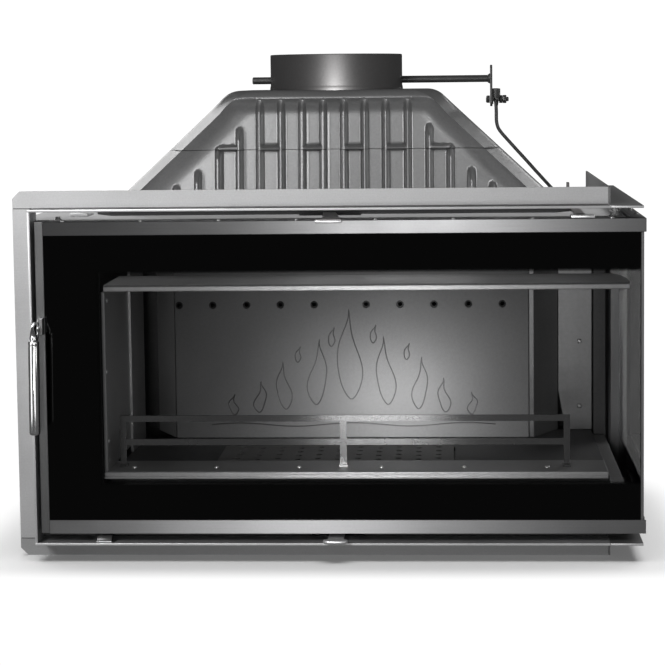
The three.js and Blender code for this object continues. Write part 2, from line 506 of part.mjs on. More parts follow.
// ---- handle and latch -------------------------------------------------------------------------------
{
  const gx0 = -451.7, gx1 = -453.3, gy = -46, r = 8.6;
  const up = new THREE.Vector3(gx0 - gx1, 0, 148).normalize();
  const grip = new THREE.CylinderGeometry(r, r, 148, 20)
    .rotateX(Math.PI / 2)
    .applyQuaternion(new THREE.Quaternion().setFromUnitVectors(new THREE.Vector3(0, 0, 1), up))
    .translate((gx0 + gx1) / 2, gy, 287);
  add("handle_grip", grip, "bright");
  // arm: from the pivot on the stile, forward and down to the top of the grip
  const arm = cut(
    solid(alongX([[-4, 384], [-12, 387.5], [-30, 384], [-47, 375.5], [-51, 366], [-51, 361.9], [-40, 361.9], [-24, 366.5], [-6, 369], [-2, 374], [-2, 381]], -459, -449)),
    cylX(4.3, -470, -440, -9, 378, 12),
  );
  add("handle_arm", geometryOf(arm), "bright");
  // tongue in the gap beside the stile; its end lies under the keeper
  const tongue = cut(
    solid(alongX([[-16, 372], [-3, 370], [37, 352], [37, 360], [30, 366], [2, 386], [-16, 386]], -462.2, -459.3)),
    cylX(4.3, -470, -440, -9, 378, 12),
  );
  add("latch_tongue", geometryOf(tongue), "steel");
}
{
  // bracket on the face of the stile that carries the pivot pin
  const bracket = join(
    box(-448.6, -444.2, -16, 1.7, 366, 392),
    cylX(4, -462, -446, -9, 378, 12),
  );
  add("handle_bracket", geometryOf(bracket), "steel");
}
add("latch_keeper", box(-463, -440.3, 33, 39, 367.5, 375), "steel");

export default insert;
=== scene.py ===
"""Fireplace insert with corner glass: the finish of every piece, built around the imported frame."""
import json
import math
import random
import bpy
import bmesh
import numpy as np
from mathutils import Matrix, Vector

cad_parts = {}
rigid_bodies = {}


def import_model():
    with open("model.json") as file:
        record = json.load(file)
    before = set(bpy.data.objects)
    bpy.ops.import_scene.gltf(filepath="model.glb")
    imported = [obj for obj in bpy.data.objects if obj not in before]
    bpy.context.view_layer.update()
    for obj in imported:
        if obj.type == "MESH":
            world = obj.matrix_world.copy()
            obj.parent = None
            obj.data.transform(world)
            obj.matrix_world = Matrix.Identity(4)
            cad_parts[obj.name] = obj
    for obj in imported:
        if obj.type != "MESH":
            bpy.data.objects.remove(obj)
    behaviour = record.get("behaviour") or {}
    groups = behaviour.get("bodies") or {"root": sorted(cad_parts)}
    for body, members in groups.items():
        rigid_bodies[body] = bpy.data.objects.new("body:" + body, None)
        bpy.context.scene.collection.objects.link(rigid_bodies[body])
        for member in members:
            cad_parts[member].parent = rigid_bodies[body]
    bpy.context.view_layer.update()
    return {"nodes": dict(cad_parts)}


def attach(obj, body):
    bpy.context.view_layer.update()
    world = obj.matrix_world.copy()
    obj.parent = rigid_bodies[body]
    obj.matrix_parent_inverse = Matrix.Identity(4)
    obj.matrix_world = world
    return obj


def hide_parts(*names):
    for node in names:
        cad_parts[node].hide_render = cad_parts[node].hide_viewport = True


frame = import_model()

NODES = frame["nodes"]
CY = 290.0  # the construction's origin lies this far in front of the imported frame's
rnd = random.Random(11)


def P(x, y, z):
    """A construction point in millimetres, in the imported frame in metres."""
    return Vector((x / 1000.0, (y - CY) / 1000.0, z / 1000.0))


def smooth01(t):
    t = min(1.0, max(0.0, t))
    return t * t * (3 - 2 * t)


# ------------------------------------------------------------------------------------------------
# materials
# ------------------------------------------------------------------------------------------------
def shade(name, color, rough, metal=0.0, spec=0.5, coat=0.0, mottle=(6.0, 0.10), grain=None, brush=None,
          rough_var=0.12, fine=(140.0, 0.05), streak=None, edge=None, aniso=None):
    """A surface with cloudy tone, fine tone, uneven gloss, and grain or brushing in its bump.

    grain = (scale per metre, height in metres); brush = (axis along the strokes, height in metres);
    streak = (axis, amount): tone drawn out along an axis; edge = how much lighter worn edges are;
    aniso = (amount, axis that the highlight's direction circles).
    """
    m = bpy.data.materials.new(name)
    m.use_nodes = True
    nt = m.node_tree
    nt.nodes.clear()
    out = nt.nodes.new("ShaderNodeOutputMaterial")
    bsdf = nt.nodes.new("ShaderNodeBsdfPrincipled")
    nt.links.new(bsdf.outputs[0], out.inputs[0])
    bsdf.inputs["Metallic"].default_value = metal
    bsdf.inputs["Specular IOR Level"].default_value = spec
    bsdf.inputs["Coat Weight"].default_value = coat
    bsdf.inputs["Coat Roughness"].default_value = 0.12
    tc = nt.nodes.new("ShaderNodeTexCoord")
    if aniso:
        bsdf.inputs["Anisotropic"].default_value = aniso[0]
        tg = nt.nodes.new("ShaderNodeTangent")
        tg.direction_type = "RADIAL"
        tg.axis = aniso[1]
        nt.links.new(tg.outputs[0], bsdf.inputs["Tangent"])

    def noise(scale, detail=4.0, rough_=0.55, vector=None):
        n = nt.nodes.new("ShaderNodeTexNoise")
        n.inputs["Scale"].default_value = scale
        n.inputs["Detail"].default_value = detail
        n.inputs["Roughness"].default_value = rough_
        nt.links.new(vector or tc.outputs["Object"], n.inputs["Vector"])
        return n

    def spread(socket, low, high, lo_in=0.3, hi_in=0.7):
        r = nt.nodes.new("ShaderNodeMapRange")
        r.inputs["From Min"].default_value = lo_in
        r.inputs["From Max"].default_value = hi_in
        r.inputs["To Min"].default_value = low
        r.inputs["To Max"].default_value = high
        nt.links.new(socket, r.inputs["Value"])
        return r.outputs["Result"]

    def times(a, b):
        x = nt.nodes.new("ShaderNodeMath")
        x.operation = "MULTIPLY"
        nt.links.new(a, x.inputs[0])
        if isinstance(b, float):
            x.inputs[1].default_value = b
        else:
            nt.links.new(b, x.inputs[1])
        return x.outputs[0]

    cloud = noise(mottle[0], 5.0)
    speck = noise(fine[0], 3.0)
    tone = times(spread(cloud.outputs["Fac"], 1 - mottle[1], 1 + mottle[1]), spread(speck.outputs["Fac"], 1 - fine[1], 1 + fine[1]))
    stroke = None
    if brush or streak:
        axis = (brush or streak)[0]
        mp = nt.nodes.new("ShaderNodeMapping")
        nt.links.new(tc.outputs["Object"], mp.inputs["Vector"])
        s = [1600.0, 1600.0, 1600.0]
        s["XYZ".index(axis)] = 9.0
        mp.inputs["Scale"].default_value = s
        stroke = noise(1.0, 2.0, 0.6, mp.outputs["Vector"])
        if streak:
            tone = times(tone, spread(stroke.outputs["Fac"], 1 - streak[1], 1 + streak[1]))
    if edge:
        g = nt.nodes.new("ShaderNodeNewGeometry")
        worn = spread(g.outputs["Pointiness"], 1.0, 1.0 + edge, 0.515, 0.60)
        tone = times(tone, worn)
    col = nt.nodes.new("ShaderNodeMix")
    col.data_type = "RGBA"
    col.blend_type = "MULTIPLY"
    col.inputs["Factor"].default_value = 1.0
    col.inputs["A"].default_value = (*color, 1)
    nt.links.new(tone, col.inputs["B"])
    nt.links.new(col.outputs["Result"], bsdf.inputs["Base Color"])
    nt.links.new(spread(cloud.outputs["Fac"], rough * (1 - rough_var), rough * (1 + rough_var)), bsdf.inputs["Roughness"])
    last = None
    if grain:
        g = noise(grain[0], 5.0, 0.6)
        b = nt.nodes.new("ShaderNodeBump")
        b.inputs["Strength"].default_value = 1.0
        b.inputs["Distance"].default_value = grain[1]
        nt.links.new(g.outputs["Fac"], b.inputs["Height"])
        last = b
    if brush:
        b = nt.nodes.new("ShaderNodeBump")
        b.inputs["Strength"].default_value = 1.0
        b.inputs["Distance"].default_value = brush[1]
        nt.links.new(stroke.outputs["Fac"], b.inputs["Height"])
        if last:
            nt.links.new(last.outputs["Normal"], b.inputs["Normal"])
        last = b
    if last:
        nt.links.new(last.outputs["Normal"], bsdf.inputs["Normal"])
    return m


M = {
    "cast_iron": shade("cast_iron_paint", (0.10, 0.10, 0.102), 0.50, spec=0.5, mottle=(5, 0.10), grain=(520, 0.00030), fine=(260, 0.10)),
    "dome_iron": shade("dome_iron_paint", (0.29, 0.29, 0.292), 0.31, metal=0.45, spec=0.6, mottle=(5, 0.06), grain=(420, 0.00016), fine=(260, 0.06)),
    "collar_steel": shade("collar_steel", (0.24, 0.235, 0.235), 0.42, metal=0.85, mottle=(5, 0.05), grain=(420, 0.00005), fine=(260, 0.04)),
    "plate_iron": shade("plate_iron_paint", (0.30, 0.30, 0.302), 0.60, metal=0.0, spec=0.25, mottle=(8, 0.12), grain=(420, 0.00016), fine=(260, 0.06)),
    "grate_iron": shade("grate_iron_paint", (0.27, 0.265, 0.262), 0.55, spec=0.4, mottle=(8, 0.12), grain=(420, 0.00016), fine=(260, 0.06)),
    "fireback_iron": shade("fireback_iron", (0.27, 0.27, 0.272), 0.50, metal=0.15, spec=0.5, mottle=(4, 0.08), grain=(380, 0.00010), fine=(200, 0.05)),
    "guard_steel": shade("guard_steel", (0.40, 0.40, 0.402), 0.26, metal=1.0, mottle=(5, 0.06), grain=(300, 0.00001), fine=(170, 0.05), streak=("X", 0.04), aniso=(0.6, "X")),
    # darker than the fireback: painted shade for the lines of the engraved design
    "groove_painted_shade": shade("groove_painted_shade_iron", (0.14, 0.14, 0.141), 0.40, metal=0.55, spec=0.5, fine=(200, 0.05)),
    "inner_plate": shade("inner_plate", (0.30, 0.30, 0.302), 0.40, metal=0.65, mottle=(5, 0.10), grain=(300, 0.00008), fine=(170, 0.05), streak=("X", 0.05)),
    "trim_steel": shade("trim_steel", (0.62, 0.62, 0.625), 0.50, metal=0.80, mottle=(7, 0.05), grain=(330, 0.00005), fine=(420, 0.05), streak=("X", 0.03)),
    # darker copy of the trim steel: painted shade on the bottom leg under the overhang
    "trim_lower_shade": shade("trim_lower_shade_steel", (0.47, 0.47, 0.474), 0.50, metal=0.80, mottle=(7, 0.05), grain=(330, 0.00005), fine=(420, 0.05), streak=("X", 0.03)),
    # dark steel of the corner seams, also laid as painted shade in the trim's bends
    "seam_and_shade_steel": shade("seam_and_shade_steel", (0.10, 0.10, 0.10), 0.55, metal=0.5, mottle=(20, 0.10), grain=(500, 0.00005), fine=(260, 0.06)),
    # darker copy of the trim steel: painted shade on the side legs
    "trim_side": shade("trim_side_shade_steel", (0.26, 0.26, 0.262), 0.45, metal=0.85, mottle=(7, 0.05), grain=(330, 0.00005), fine=(420, 0.05), streak=("Y", 0.03)),
    # lighter copy of the trim steel: a painted highlight, on the trim's front edges and on the lifting tab
    "trim_highlight": shade("trim_highlight_steel", (0.80, 0.80, 0.805), 0.42, metal=0.60, mottle=(7, 0.05), grain=(330, 0.00003), fine=(420, 0.04)),
    "brushed_rail": shade("brushed_rail", (0.42, 0.42, 0.425), 0.34, metal=1.0, mottle=(5, 0.05), brush=("X", 0.00002), fine=(300, 0.03), streak=("X", 0.06), aniso=(0.75, "X")),
    "brushed_side": shade("brushed_side", (0.42, 0.42, 0.425), 0.34, metal=1.0, mottle=(5, 0.05), brush=("Y", 0.00002), fine=(300, 0.03), streak=("Y", 0.06)),
    "brushed_stile": shade("brushed_stile", (0.30, 0.30, 0.303), 0.34, metal=1.0, mottle=(5, 0.05), brush=("Z", 0.00002), fine=(300, 0.03), streak=("Z", 0.06)),
    "zinc_steel": shade("zinc_steel", (0.36, 0.36, 0.36), 0.38, metal=0.9, mottle=(30, 0.12), grain=(700, 0.00005), fine=(300, 0.08)),
    "screw_steel": shade("screw_steel", (0.58, 0.58, 0.58), 0.30, metal=0.7, mottle=(30, 0.08), grain=(700, 0.00003), fine=(300, 0.05)),
    "dark_steel": shade("dark_steel", (0.09, 0.09, 0.09), 0.40, metal=0.6, mottle=(30, 0.12), grain=(700, 0.00005), fine=(300, 0.08)),
    # satin steel of the air lever, also used for lighter strips that are painted highlights on dark parts
    "satin_steel_and_highlight": shade("satin_steel_and_highlight", (0.72, 0.72, 0.725), 0.34, metal=0.75, mottle=(12, 0.06), grain=(500, 0.00003), fine=(260, 0.03)),
    "tab_steel": shade("tab_steel", (0.22, 0.21, 0.21), 0.38, metal=0.7, mottle=(20, 0.12), grain=(500, 0.00005), fine=(260, 0.06)),
    "bright_steel": shade("bright_steel", (0.82, 0.82, 0.825), 0.16, metal=1.0, mottle=(12, 0.04), fine=(260, 0.02), rough_var=0.25),
    "joint_strip": shade("joint_strip", (0.15, 0.15, 0.152), 0.45, spec=0.4, mottle=(30, 0.08), fine=(260, 0.05)),
    "rope_seal": shade("rope_seal", (0.16, 0.155, 0.15), 0.95, spec=0.1, mottle=(60, 0.15), grain=(1500, 0.0006), fine=(900, 0.25)),
}


def glass_material(name, clear_alpha, bands, spec=0.30, joint=None, graze_alpha=0.95):
    """Ceramic glass with a fired black border: bands is a list of (axis, value where it is clear, value where it is black) in metres."""
    m = bpy.data.materials.new(name)
    m.use_nodes = True
    nt = m.node_tree
    nt.nodes.clear()
    out = nt.nodes.new("ShaderNodeOutputMaterial")
    bsdf = nt.nodes.new("ShaderNodeBsdfPrincipled")
    nt.links.new(bsdf.outputs[0], out.inputs[0])
    bsdf.inputs["Specular IOR Level"].default_value = spec
    tc = nt.nodes.new("ShaderNodeTexCoord")
    xyz = nt.nodes.new("ShaderNodeSeparateXYZ")
    nt.links.new(tc.outputs["Object"], xyz.inputs[0])
    mask = None
    for axis, clear, black in bands:
        r = nt.nodes.new("ShaderNodeMapRange")
        r.interpolation_type = "SMOOTHERSTEP"
        r.inputs["From Min"].default_value = clear
        r.inputs["From Max"].default_value = black
        nt.links.new(xyz.outputs["XYZ".index(axis)], r.inputs["Value"])
        if mask is None:
            mask = r.outputs["Result"]
        else:
            x = nt.nodes.new("ShaderNodeMath")
            x.operation = "MAXIMUM"
            nt.links.new(mask, x.inputs[0])
            nt.links.new(r.outputs["Result"], x.inputs[1])
            mask = x.outputs[0]
    lw = nt.nodes.new("ShaderNodeLayerWeight")
    lw.inputs["Blend"].default_value = 0.5
    cube = nt.nodes.new("ShaderNodeMath")
    cube.operation = "POWER"
    cube.inputs[1].default_value = 3.2
    nt.links.new(lw.outputs["Facing"], cube.inputs[0])
    graze = nt.nodes.new("ShaderNodeMapRange")
    graze.inputs["From Max"].default_value = 0.74
    graze.inputs["To Min"].default_value = clear_alpha
    graze.inputs["To Max"].default_value = graze_alpha
    nt.links.new(cube.outputs[0], graze.inputs["Value"])
    a = nt.nodes.new("ShaderNodeMath")
    a.operation = "MAXIMUM"
    nt.links.new(graze.outputs["Result"], a.inputs[0])
    nt.links.new(mask, a.inputs[1])
    nt.links.new(a.outputs[0], bsdf.inputs["Alpha"])
    # enamel: a faint uneven tone and gloss under the glass
    n = nt.nodes.new("ShaderNodeTexNoise")
    n.inputs["Scale"].default_value = 60.0
    n.inputs["Detail"].default_value = 4.0
    nt.links.new(tc.outputs["Object"], n.inputs["Vector"])
    r = nt.nodes.new("ShaderNodeMapRange")
    r.inputs["To Min"].default_value = 0.03
    r.inputs["To Max"].default_value = 0.07
    nt.links.new(n.outputs["Fac"], r.inputs["Value"])
    nt.links.new(r.outputs["Result"], bsdf.inputs["Roughness"])
    c = nt.nodes.new("ShaderNodeMix")
    c.data_type = "RGBA"
    c.inputs["A"].default_value = (0.0004, 0.0004, 0.0004, 1)
    c.inputs["B"].default_value = (0.0008, 0.0008, 0.0008, 1)
    nt.links.new(n.outputs["Fac"], c.inputs["Factor"])
    colour = c.outputs["Result"]
    if joint:
        # bare strip along the corner, where the sealed joint of the two panes shows
        lo = nt.nodes.new("ShaderNodeMapRange")
        lo.inputs["From Min"].default_value = joint[0] - 0.0004
        lo.inputs["From Max"].default_value = joint[0] + 0.0004
        hi = nt.nodes.new("ShaderNodeMapRange")
        hi.inputs["From Min"].default_value = joint[1] + 0.0004
        hi.inputs["From Max"].default_value = joint[1] - 0.0004
        for q in (lo, hi):
            nt.links.new(xyz.outputs[0], q.inputs["Value"])
        both = nt.nodes.new("ShaderNodeMath")
        both.operation = "MULTIPLY"
        nt.links.new(lo.outputs["Result"], both.inputs[0])
        nt.links.new(hi.outputs["Result"], both.inputs[1])
        j = nt.nodes.new("ShaderNodeMix")
        j.data_type = "RGBA"
        j.inputs["B"].default_value = (0.20, 0.20, 0.20, 1)
        nt.links.new(both.outputs[0], j.inputs["Factor"])
        nt.links.new(colour, j.inputs["A"])
        colour = j.outputs["Result"]
        solid = nt.nodes.new("ShaderNodeMath")
        solid.operation = "MAXIMUM"
        nt.links.new(a.outputs[0], solid.inputs[0])
        nt.links.new(both.outputs[0], solid.inputs[1])
        nt.links.new(solid.outputs[0], bsdf.inputs["Alpha"])
    nt.links.new(colour, bsdf.inputs["Base Color"])
    return m


M["front_glass"] = glass_material("ceramic_glass_front", 0.06, [
    ("X", -0.349, -0.364), ("Z", 0.457, 0.468), ("Z", 0.133, 0.119)], joint=(0.4925, 0.4962))
M["side_glass"] = glass_material("ceramic_glass_side", 0.06, [
    ("Z", 0.457, 0.468), ("Z", 0.133, 0.119), ("Y", 0.118, 0.128)], graze_alpha=0.76)


def paint(obj, key):
    obj.data.materials.clear()
    obj.data.materials.append(M[key])


def soften(obj, width, segments=2, angle=32):
    w = obj.modifiers.new("weld", "WELD")
    w.merge_threshold = 0.00002
    b = obj.modifiers.new("edge", "BEVEL")
    b.width = width
    b.segments = segments
    b.limit_method = "ANGLE"
    b.angle_limit = math.radians(angle)
    b.use_clamp_overlap = True
    b.harden_normals = False
    return obj


FINISH = {
    "cast_iron": (["hearth_base", "frame_footer", "frame_post_left", "frame_header", "left_wall", "rear_wall", "right_wall", "rear_side_panel",
                   "top_plate", "firebox_floor", "grate", "baffle_plate", "dome_lower", "dome_upper", "flue_collar", "damper_disc"], 0.0012),
    "fireback_iron": (["fireback"], 0.0006),
    "inner_plate": (["right_inner_post", "sill_plate", "side_sill", "left_lining_front", "left_lining_rear", "fireback_return_left",
                     "fireback_return_right", "right_lining", "inner_lintel", "log_guard"], 0.0008),
    "trim_steel": (["trim_top", "trim_left", "trim_bottom", "trim_side_top", "trim_side_bottom"], 0.0014),
    "zinc_steel": (["ash_pan", "damper_shaft", "damper_lever", "hinge_pin_upper", "hinge_pin_lower", "hinge_plate_upper", "hinge_plate_lower",
                    "latch_tongue", "handle_bracket", "latch_keeper"], 0.0005),
    "bright_steel": (["crank_bolt", "link_rod", "damper_control", "air_slider", "air_lever", "handle_grip", "handle_arm"], 0.0006),
    "brushed_rail": (["door_top_rail", "door_bottom_rail"], 0.0008),
    "brushed_side": (["door_side_top_rail", "door_side_bottom_rail"], 0.0008),
    "brushed_stile": (["door_left_stile", "door_hinge_stile"], 0.0008),
    "rope_seal": (["seal_upper", "seal_lower", "seal_left"], 0.0012),
}
# the side legs take a darker copy of the trim steel: painted shade
for n in ("trim_side_top", "trim_side_bottom"):
    FINISH["trim_steel"][0].remove(n)
FINISH["trim_side"] = (["trim_side_top", "trim_side_bottom"], 0.0014)
# the bottom leg takes the darker copy of the trim steel: painted shade
FINISH["trim_steel"][0].remove("trim_bottom")
FINISH["trim_lower_shade"] = (["trim_bottom"], 0.0014)
FINISH["inner_plate"][0].remove("right_inner_post")
FINISH["cast_iron"][0].append("right_inner_post")
FINISH["inner_plate"][0].remove("log_guard")
FINISH["guard_steel"] = (["log_guard"], 0.0006)
FINISH["cast_iron"][0].remove("top_plate")
FINISH["cast_iron"][0].remove("frame_header")
FINISH["plate_iron"] = (["top_plate", "frame_header"], 0.0010)
FINISH["cast_iron"][0].remove("grate")
FINISH["grate_iron"] = (["grate"], 0.0010)
FINISH["bright_steel"][0].remove("air_slider")
FINISH["bright_steel"][0].remove("air_lever")
FINISH["bright_steel"][0].remove("damper_control")
FINISH["tab_steel"] = (["air_slider", "damper_control"], 0.0009)
FINISH["satin_steel_and_highlight"] = (["air_lever"], 0.0014)
for key, (names, width) in FINISH.items():
    for n in names:
        paint(NODES[n], key)
        soften(NODES[n], width)
paint(NODES["front_glass"], "front_glass")
paint(NODES["side_glass"], "side_glass")


# ------------------------------------------------------------------------------------------------
# mesh helpers: every solid is laid down in construction millimetres
# ------------------------------------------------------------------------------------------------
def axes(direction):
    """Two unit vectors square to a direction, and the direction itself."""
    d = Vector(direction).normalized()
    h = Vector((0, 0, 1)) if abs(d.z) < 0.9 else Vector((1, 0, 0))
    u = h.cross(d).normalized()
    return u, d.cross(u).normalized(), d


class Build:
    """Closed shells gathered into one mesh."""

    def __init__(self):
        self.v, self.f = [], []

    def add(self, verts, faces):
        n = len(self.v)
        self.v.extend([tuple(p) for p in verts])
        self.f.extend([tuple(i + n for i in f) for f in faces])
        return self

    def rings(self, rings, closed=False, cap=True):
        """Skin through rings of equal count; closed joins the last to the first, cap closes both ends."""
        n, k = len(rings[0]), len(rings)
        verts = [p for r in rings for p in r]
        faces = []
        for i in range(k if closed else k - 1):
            a, b = i * n, ((i + 1) % k) * n
            for j in range(n):
                j2 = (j + 1) % n
                faces.append((a + j, a + j2, b + j2, b + j))
        if cap and not closed:
            faces.append(tuple(range(n - 1, -1, -1)))
            faces.append(tuple(range((k - 1) * n, k * n)))
        return self.add(verts, faces)

    def lathe(self, profile, at, direction, n=32, closed=False, start=0.0):
        """Profile of (radius, distance along the direction) turned about a line through a point."""
        u, w, d = axes(direction)
        at = Vector(at)
        rings = []
        for r, t in profile:
            rings.append([at + d * t + (u * math.cos(start + 2 * math.pi * j / n) + w * math.sin(start + 2 * math.pi * j / n)) * r for j in range(n)])
        return self.rings(rings, closed=closed, cap=not closed)

    def tube(self, path, radius, n=14, flat=None, dome=True):
        """Round rod along points; radius is a number or a function of 0..1; flat squashes the section (u scale, w scale)."""
        pts = [Vector(p) for p in path]
        m = len(pts)
        tang = [(pts[min(i + 1, m - 1)] - pts[max(i - 1, 0)]).normalized() for i in range(m)]
        u, w, d = axes(tang[0])
        rings = []
        for i in range(m):
            t = tang[i]
            u = (u - t * u.dot(t)).normalized()
            w = t.cross(u).normalized()
            r = radius(i / (m - 1)) if callable(radius) else radius
            fu, fw = (flat(i / (m - 1)) if callable(flat) else (flat or (1, 1)))
            ring = lambda c, k: [c + (u * math.cos(2 * math.pi * j / n) * fu + w * math.sin(2 * math.pi * j / n) * fw) * r * k for j in range(n)]
            if i == 0 and dome:
                rings.append(ring(pts[0] - t * r * 0.32, 0.35))
                rings.append(ring(pts[0] - t * r * 0.22, 0.80))
            rings.append(ring(pts[i], 1.0))
            if i == m - 1 and dome:
                rings.append(ring(pts[i] + t * r * 0.22, 0.80))
                rings.append(ring(pts[i] + t * r * 0.32, 0.35))
        return self.rings(rings)

    def box(self, x0, x1, y0, y1, z0, z1, r=0.6):
        """Box with its edges rounded by r."""
        bm = bmesh.new()
        bmesh.ops.create_cube(bm, size=1.0)
        for v in bm.verts:
            v.co = Vector(((x0 + x1) / 2 + v.co.x * (x1 - x0), (y0 + y1) / 2 + v.co.y * (y1 - y0), (z0 + z1) / 2 + v.co.z * (z1 - z0)))
        if r:
            bmesh.ops.bevel(bm, geom=bm.edges[:], offset=r, segments=2, profile=0.5, affect="EDGES", clamp_overlap=True)
        bm.verts.index_update()
        self.add([v.co.copy() for v in bm.verts], [[v.index for v in f.verts] for f in bm.faces])
        bm.free()
        return self

    def prism(self, outline, plane, lo, hi, r=0.5):
        """Outline in two axes run along the third: plane is 'XY', 'XZ' or 'YZ'."""
        put = {"XY": lambda a, b, c: Vector((a, b, c)), "XZ": lambda a, b, c: Vector((a, c, b)), "YZ": lambda a, b, c: Vector((c, a, b))}[plane]
        bm = bmesh.new()
        low = [bm.verts.new(put(a, b, lo)) for a, b in outline]
        high = [bm.verts.new(put(a, b, hi)) for a, b in outline]
        n = len(outline)
        rims = []
        f1 = bm.faces.new(low)
        f2 = bm.faces.new(list(reversed(high)))
        for i in range(n):
            bm.faces.new((low[i], high[i], high[(i + 1) % n], low[(i + 1) % n]))
        bmesh.ops.recalc_face_normals(bm, faces=bm.faces[:])
        if r:
            rims = [e for e in bm.edges if f1 in e.link_faces or f2 in e.link_faces]
            bmesh.ops.bevel(bm, geom=rims, offset=r, segments=2, profile=0.5, affect="EDGES", clamp_overlap=True)
        bm.verts.index_update()
        self.add([v.co.copy() for v in bm.verts], [[v.index for v in f.verts] for f in bm.faces])
        bm.free()
        return self

    def hex(self, at, direction, across, t0, t1, n=36, turn=0.0):
        """Hexagon nut or head with turned corners, between two distances along the direction."""
        u, w, d = axes(direction)
        at = Vector(at)
        R = across / 2

        def ring(t, limit):
            out = []
            for j in range(n):
                a = 2 * math.pi * j / n
                b = (a + turn) % (math.pi / 3) - math.pi / 6
                r = min(R / math.cos(b), limit)
                out.append(at + d * t + (u * math.cos(a) + w * math.sin(a)) * r)
            return out

        c = R * 0.14
        return self.rings([ring(t0, R * 0.98), ring(t0 + c * 0.5, R * 1.16), ring(t1 - c * 0.5, R * 1.16), ring(t1, R * 0.98)])

    def screw(self, at, direction, r=3.4, h=1.9, socket=0.45, sides=6):
        """Low round head with a hexagon socket (sides=6) or a cross recess (sides=4)."""
        u, w, d = axes(direction)
        at = Vector(at)
        n = 24
        turn = rnd.uniform(0, 2 * math.pi)

        def circle(rad, t):
            return [at + d * t + (u * math.cos(2 * math.pi * j / n) + w * math.sin(2 * math.pi * j / n)) * rad for j in range(n)]

        def drive(rad, t):
            out = []
            for j in range(n):
                a = 2 * math.pi * j / n
                if sides == 6:
                    b = (a + turn) % (math.pi / 3) - math.pi / 6
                    k = rad * 0.866 / math.cos(b)
                else:
                    k = rad * (0.42 + 0.58 * abs(math.cos(2 * (a + turn))) ** 2.5)
                out.append(at + d * t + (u * math.cos(a) + w * math.sin(a)) * k)
            return out

        s = r * socket
        return self.rings([circle(r * 0.97, -0.6), circle(r, 0.0), circle(r, h * 0.22), circle(r * 0.93, h * 0.56), circle(r * 0.78, h * 0.84), circle(r * 0.62, h * 0.96),
                           circle(max(s * 1.12, r * 0.5), h), drive(s, h * 0.97), drive(s * 0.94, h * 0.30)])

    def washer(self, at, direction, r, bore, t0, t1, n=36):
        return self.lathe([(bore, t0), (r - 0.2, t0), (r, t0 + 0.2), (r, t1 - 0.2), (r - 0.2, t1), (bore, t1)], at, direction, n, closed=True)

    def thread(self, at, direction, r, t0, t1, pitch=1.25, n=20):
        """Rod end with thread crests and a turned point."""
        prof = [(r * 0.7, t0)]
        t = t0
        while t < t1 - 1.2:
            prof += [(r * 0.90, t + 0.05), (r, t + pitch * 0.5), (r * 0.90, t + pitch - 0.05)]
            t += pitch
        prof += [(r * 0.88, t), (r * 0.62, t1)]
        return self.lathe(prof, at, direction, n)


def piece(build, name, mat, body="body", replaces=(), angle=38, smooth=True, tidy=True):
    """The gathered shells as one Blender object that rides on a body."""
    me = bpy.data.meshes.new(name)
    me.from_pydata([tuple(P(*p)) for p in build.v], [], build.f)
    bm = bmesh.new()
    bm.from_mesh(me)
    if tidy:
        bmesh.ops.remove_doubles(bm, verts=bm.verts[:], dist=0.000004)
        bmesh.ops.dissolve_degenerate(bm, edges=bm.edges[:], dist=0.000002)
    bmesh.ops.recalc_face_normals(bm, faces=bm.faces[:])
    bm.to_mesh(me)
    bm.free()
    me.update()
    if smooth:
        me.shade_smooth()
        me.set_sharp_from_angle(angle=math.radians(angle))
    ob = bpy.data.objects.new(name, me)
    bpy.context.scene.collection.objects.link(ob)
    ob.data.materials.append(M[mat])
    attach(ob, body)
    if replaces:
        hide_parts(*replaces)
    return ob


def carve(ob, build, angle=38, op="DIFFERENCE"):
    """Cuts the gathered shells out of an object."""
    shells = []
    for source in (None, build):
        bm = bmesh.new()
        if source is None:
            bm.from_mesh(ob.data)
        else:
            me = bpy.data.meshes.new("cutter")
            me.from_pydata([tuple(P(*p)) for p in source.v], [], source.f)
            bm.from_mesh(me)
            bpy.data.meshes.remove(me)
        bmesh.ops.scale(bm, verts=bm.verts[:], vec=(100.0, 100.0, 100.0))
        bmesh.ops.recalc_face_normals(bm, faces=bm.faces[:])
        if bm.calc_volume(signed=True) < 0:
            bmesh.ops.reverse_faces(bm, faces=bm.faces[:])
        me = bpy.data.meshes.new("shell")
        bm.to_mesh(me)
        bm.free()
        o = bpy.data.objects.new("shell", me)
        bpy.context.scene.collection.objects.link(o)
        shells.append(o)
    mod = shells[0].modifiers.new("carve", "BOOLEAN")
    mod.operation = op
    mod.solver = "EXACT"
    mod.object = shells[1]
    dg = bpy.context.evaluated_depsgraph_get()
    made = bpy.data.meshes.new_from_object(shells[0].evaluated_get(dg))
    if len(made.polygons) < 6:
        raise RuntimeError("the cut left nothing of " + ob.name)
    bm = bmesh.new()
    bm.from_mesh(made)
    bmesh.ops.scale(bm, verts=bm.verts[:], vec=(0.01, 0.01, 0.01))
    bm.to_mesh(ob.data)
    bm.free()
    for o in shells:
        me = o.data
        bpy.data.objects.remove(o)
        bpy.data.meshes.remove(me)
    bpy.data.meshes.remove(made)
    ob.data.shade_smooth()
    ob.data.set_sharp_from_angle(angle=math.radians(angle))
    return ob


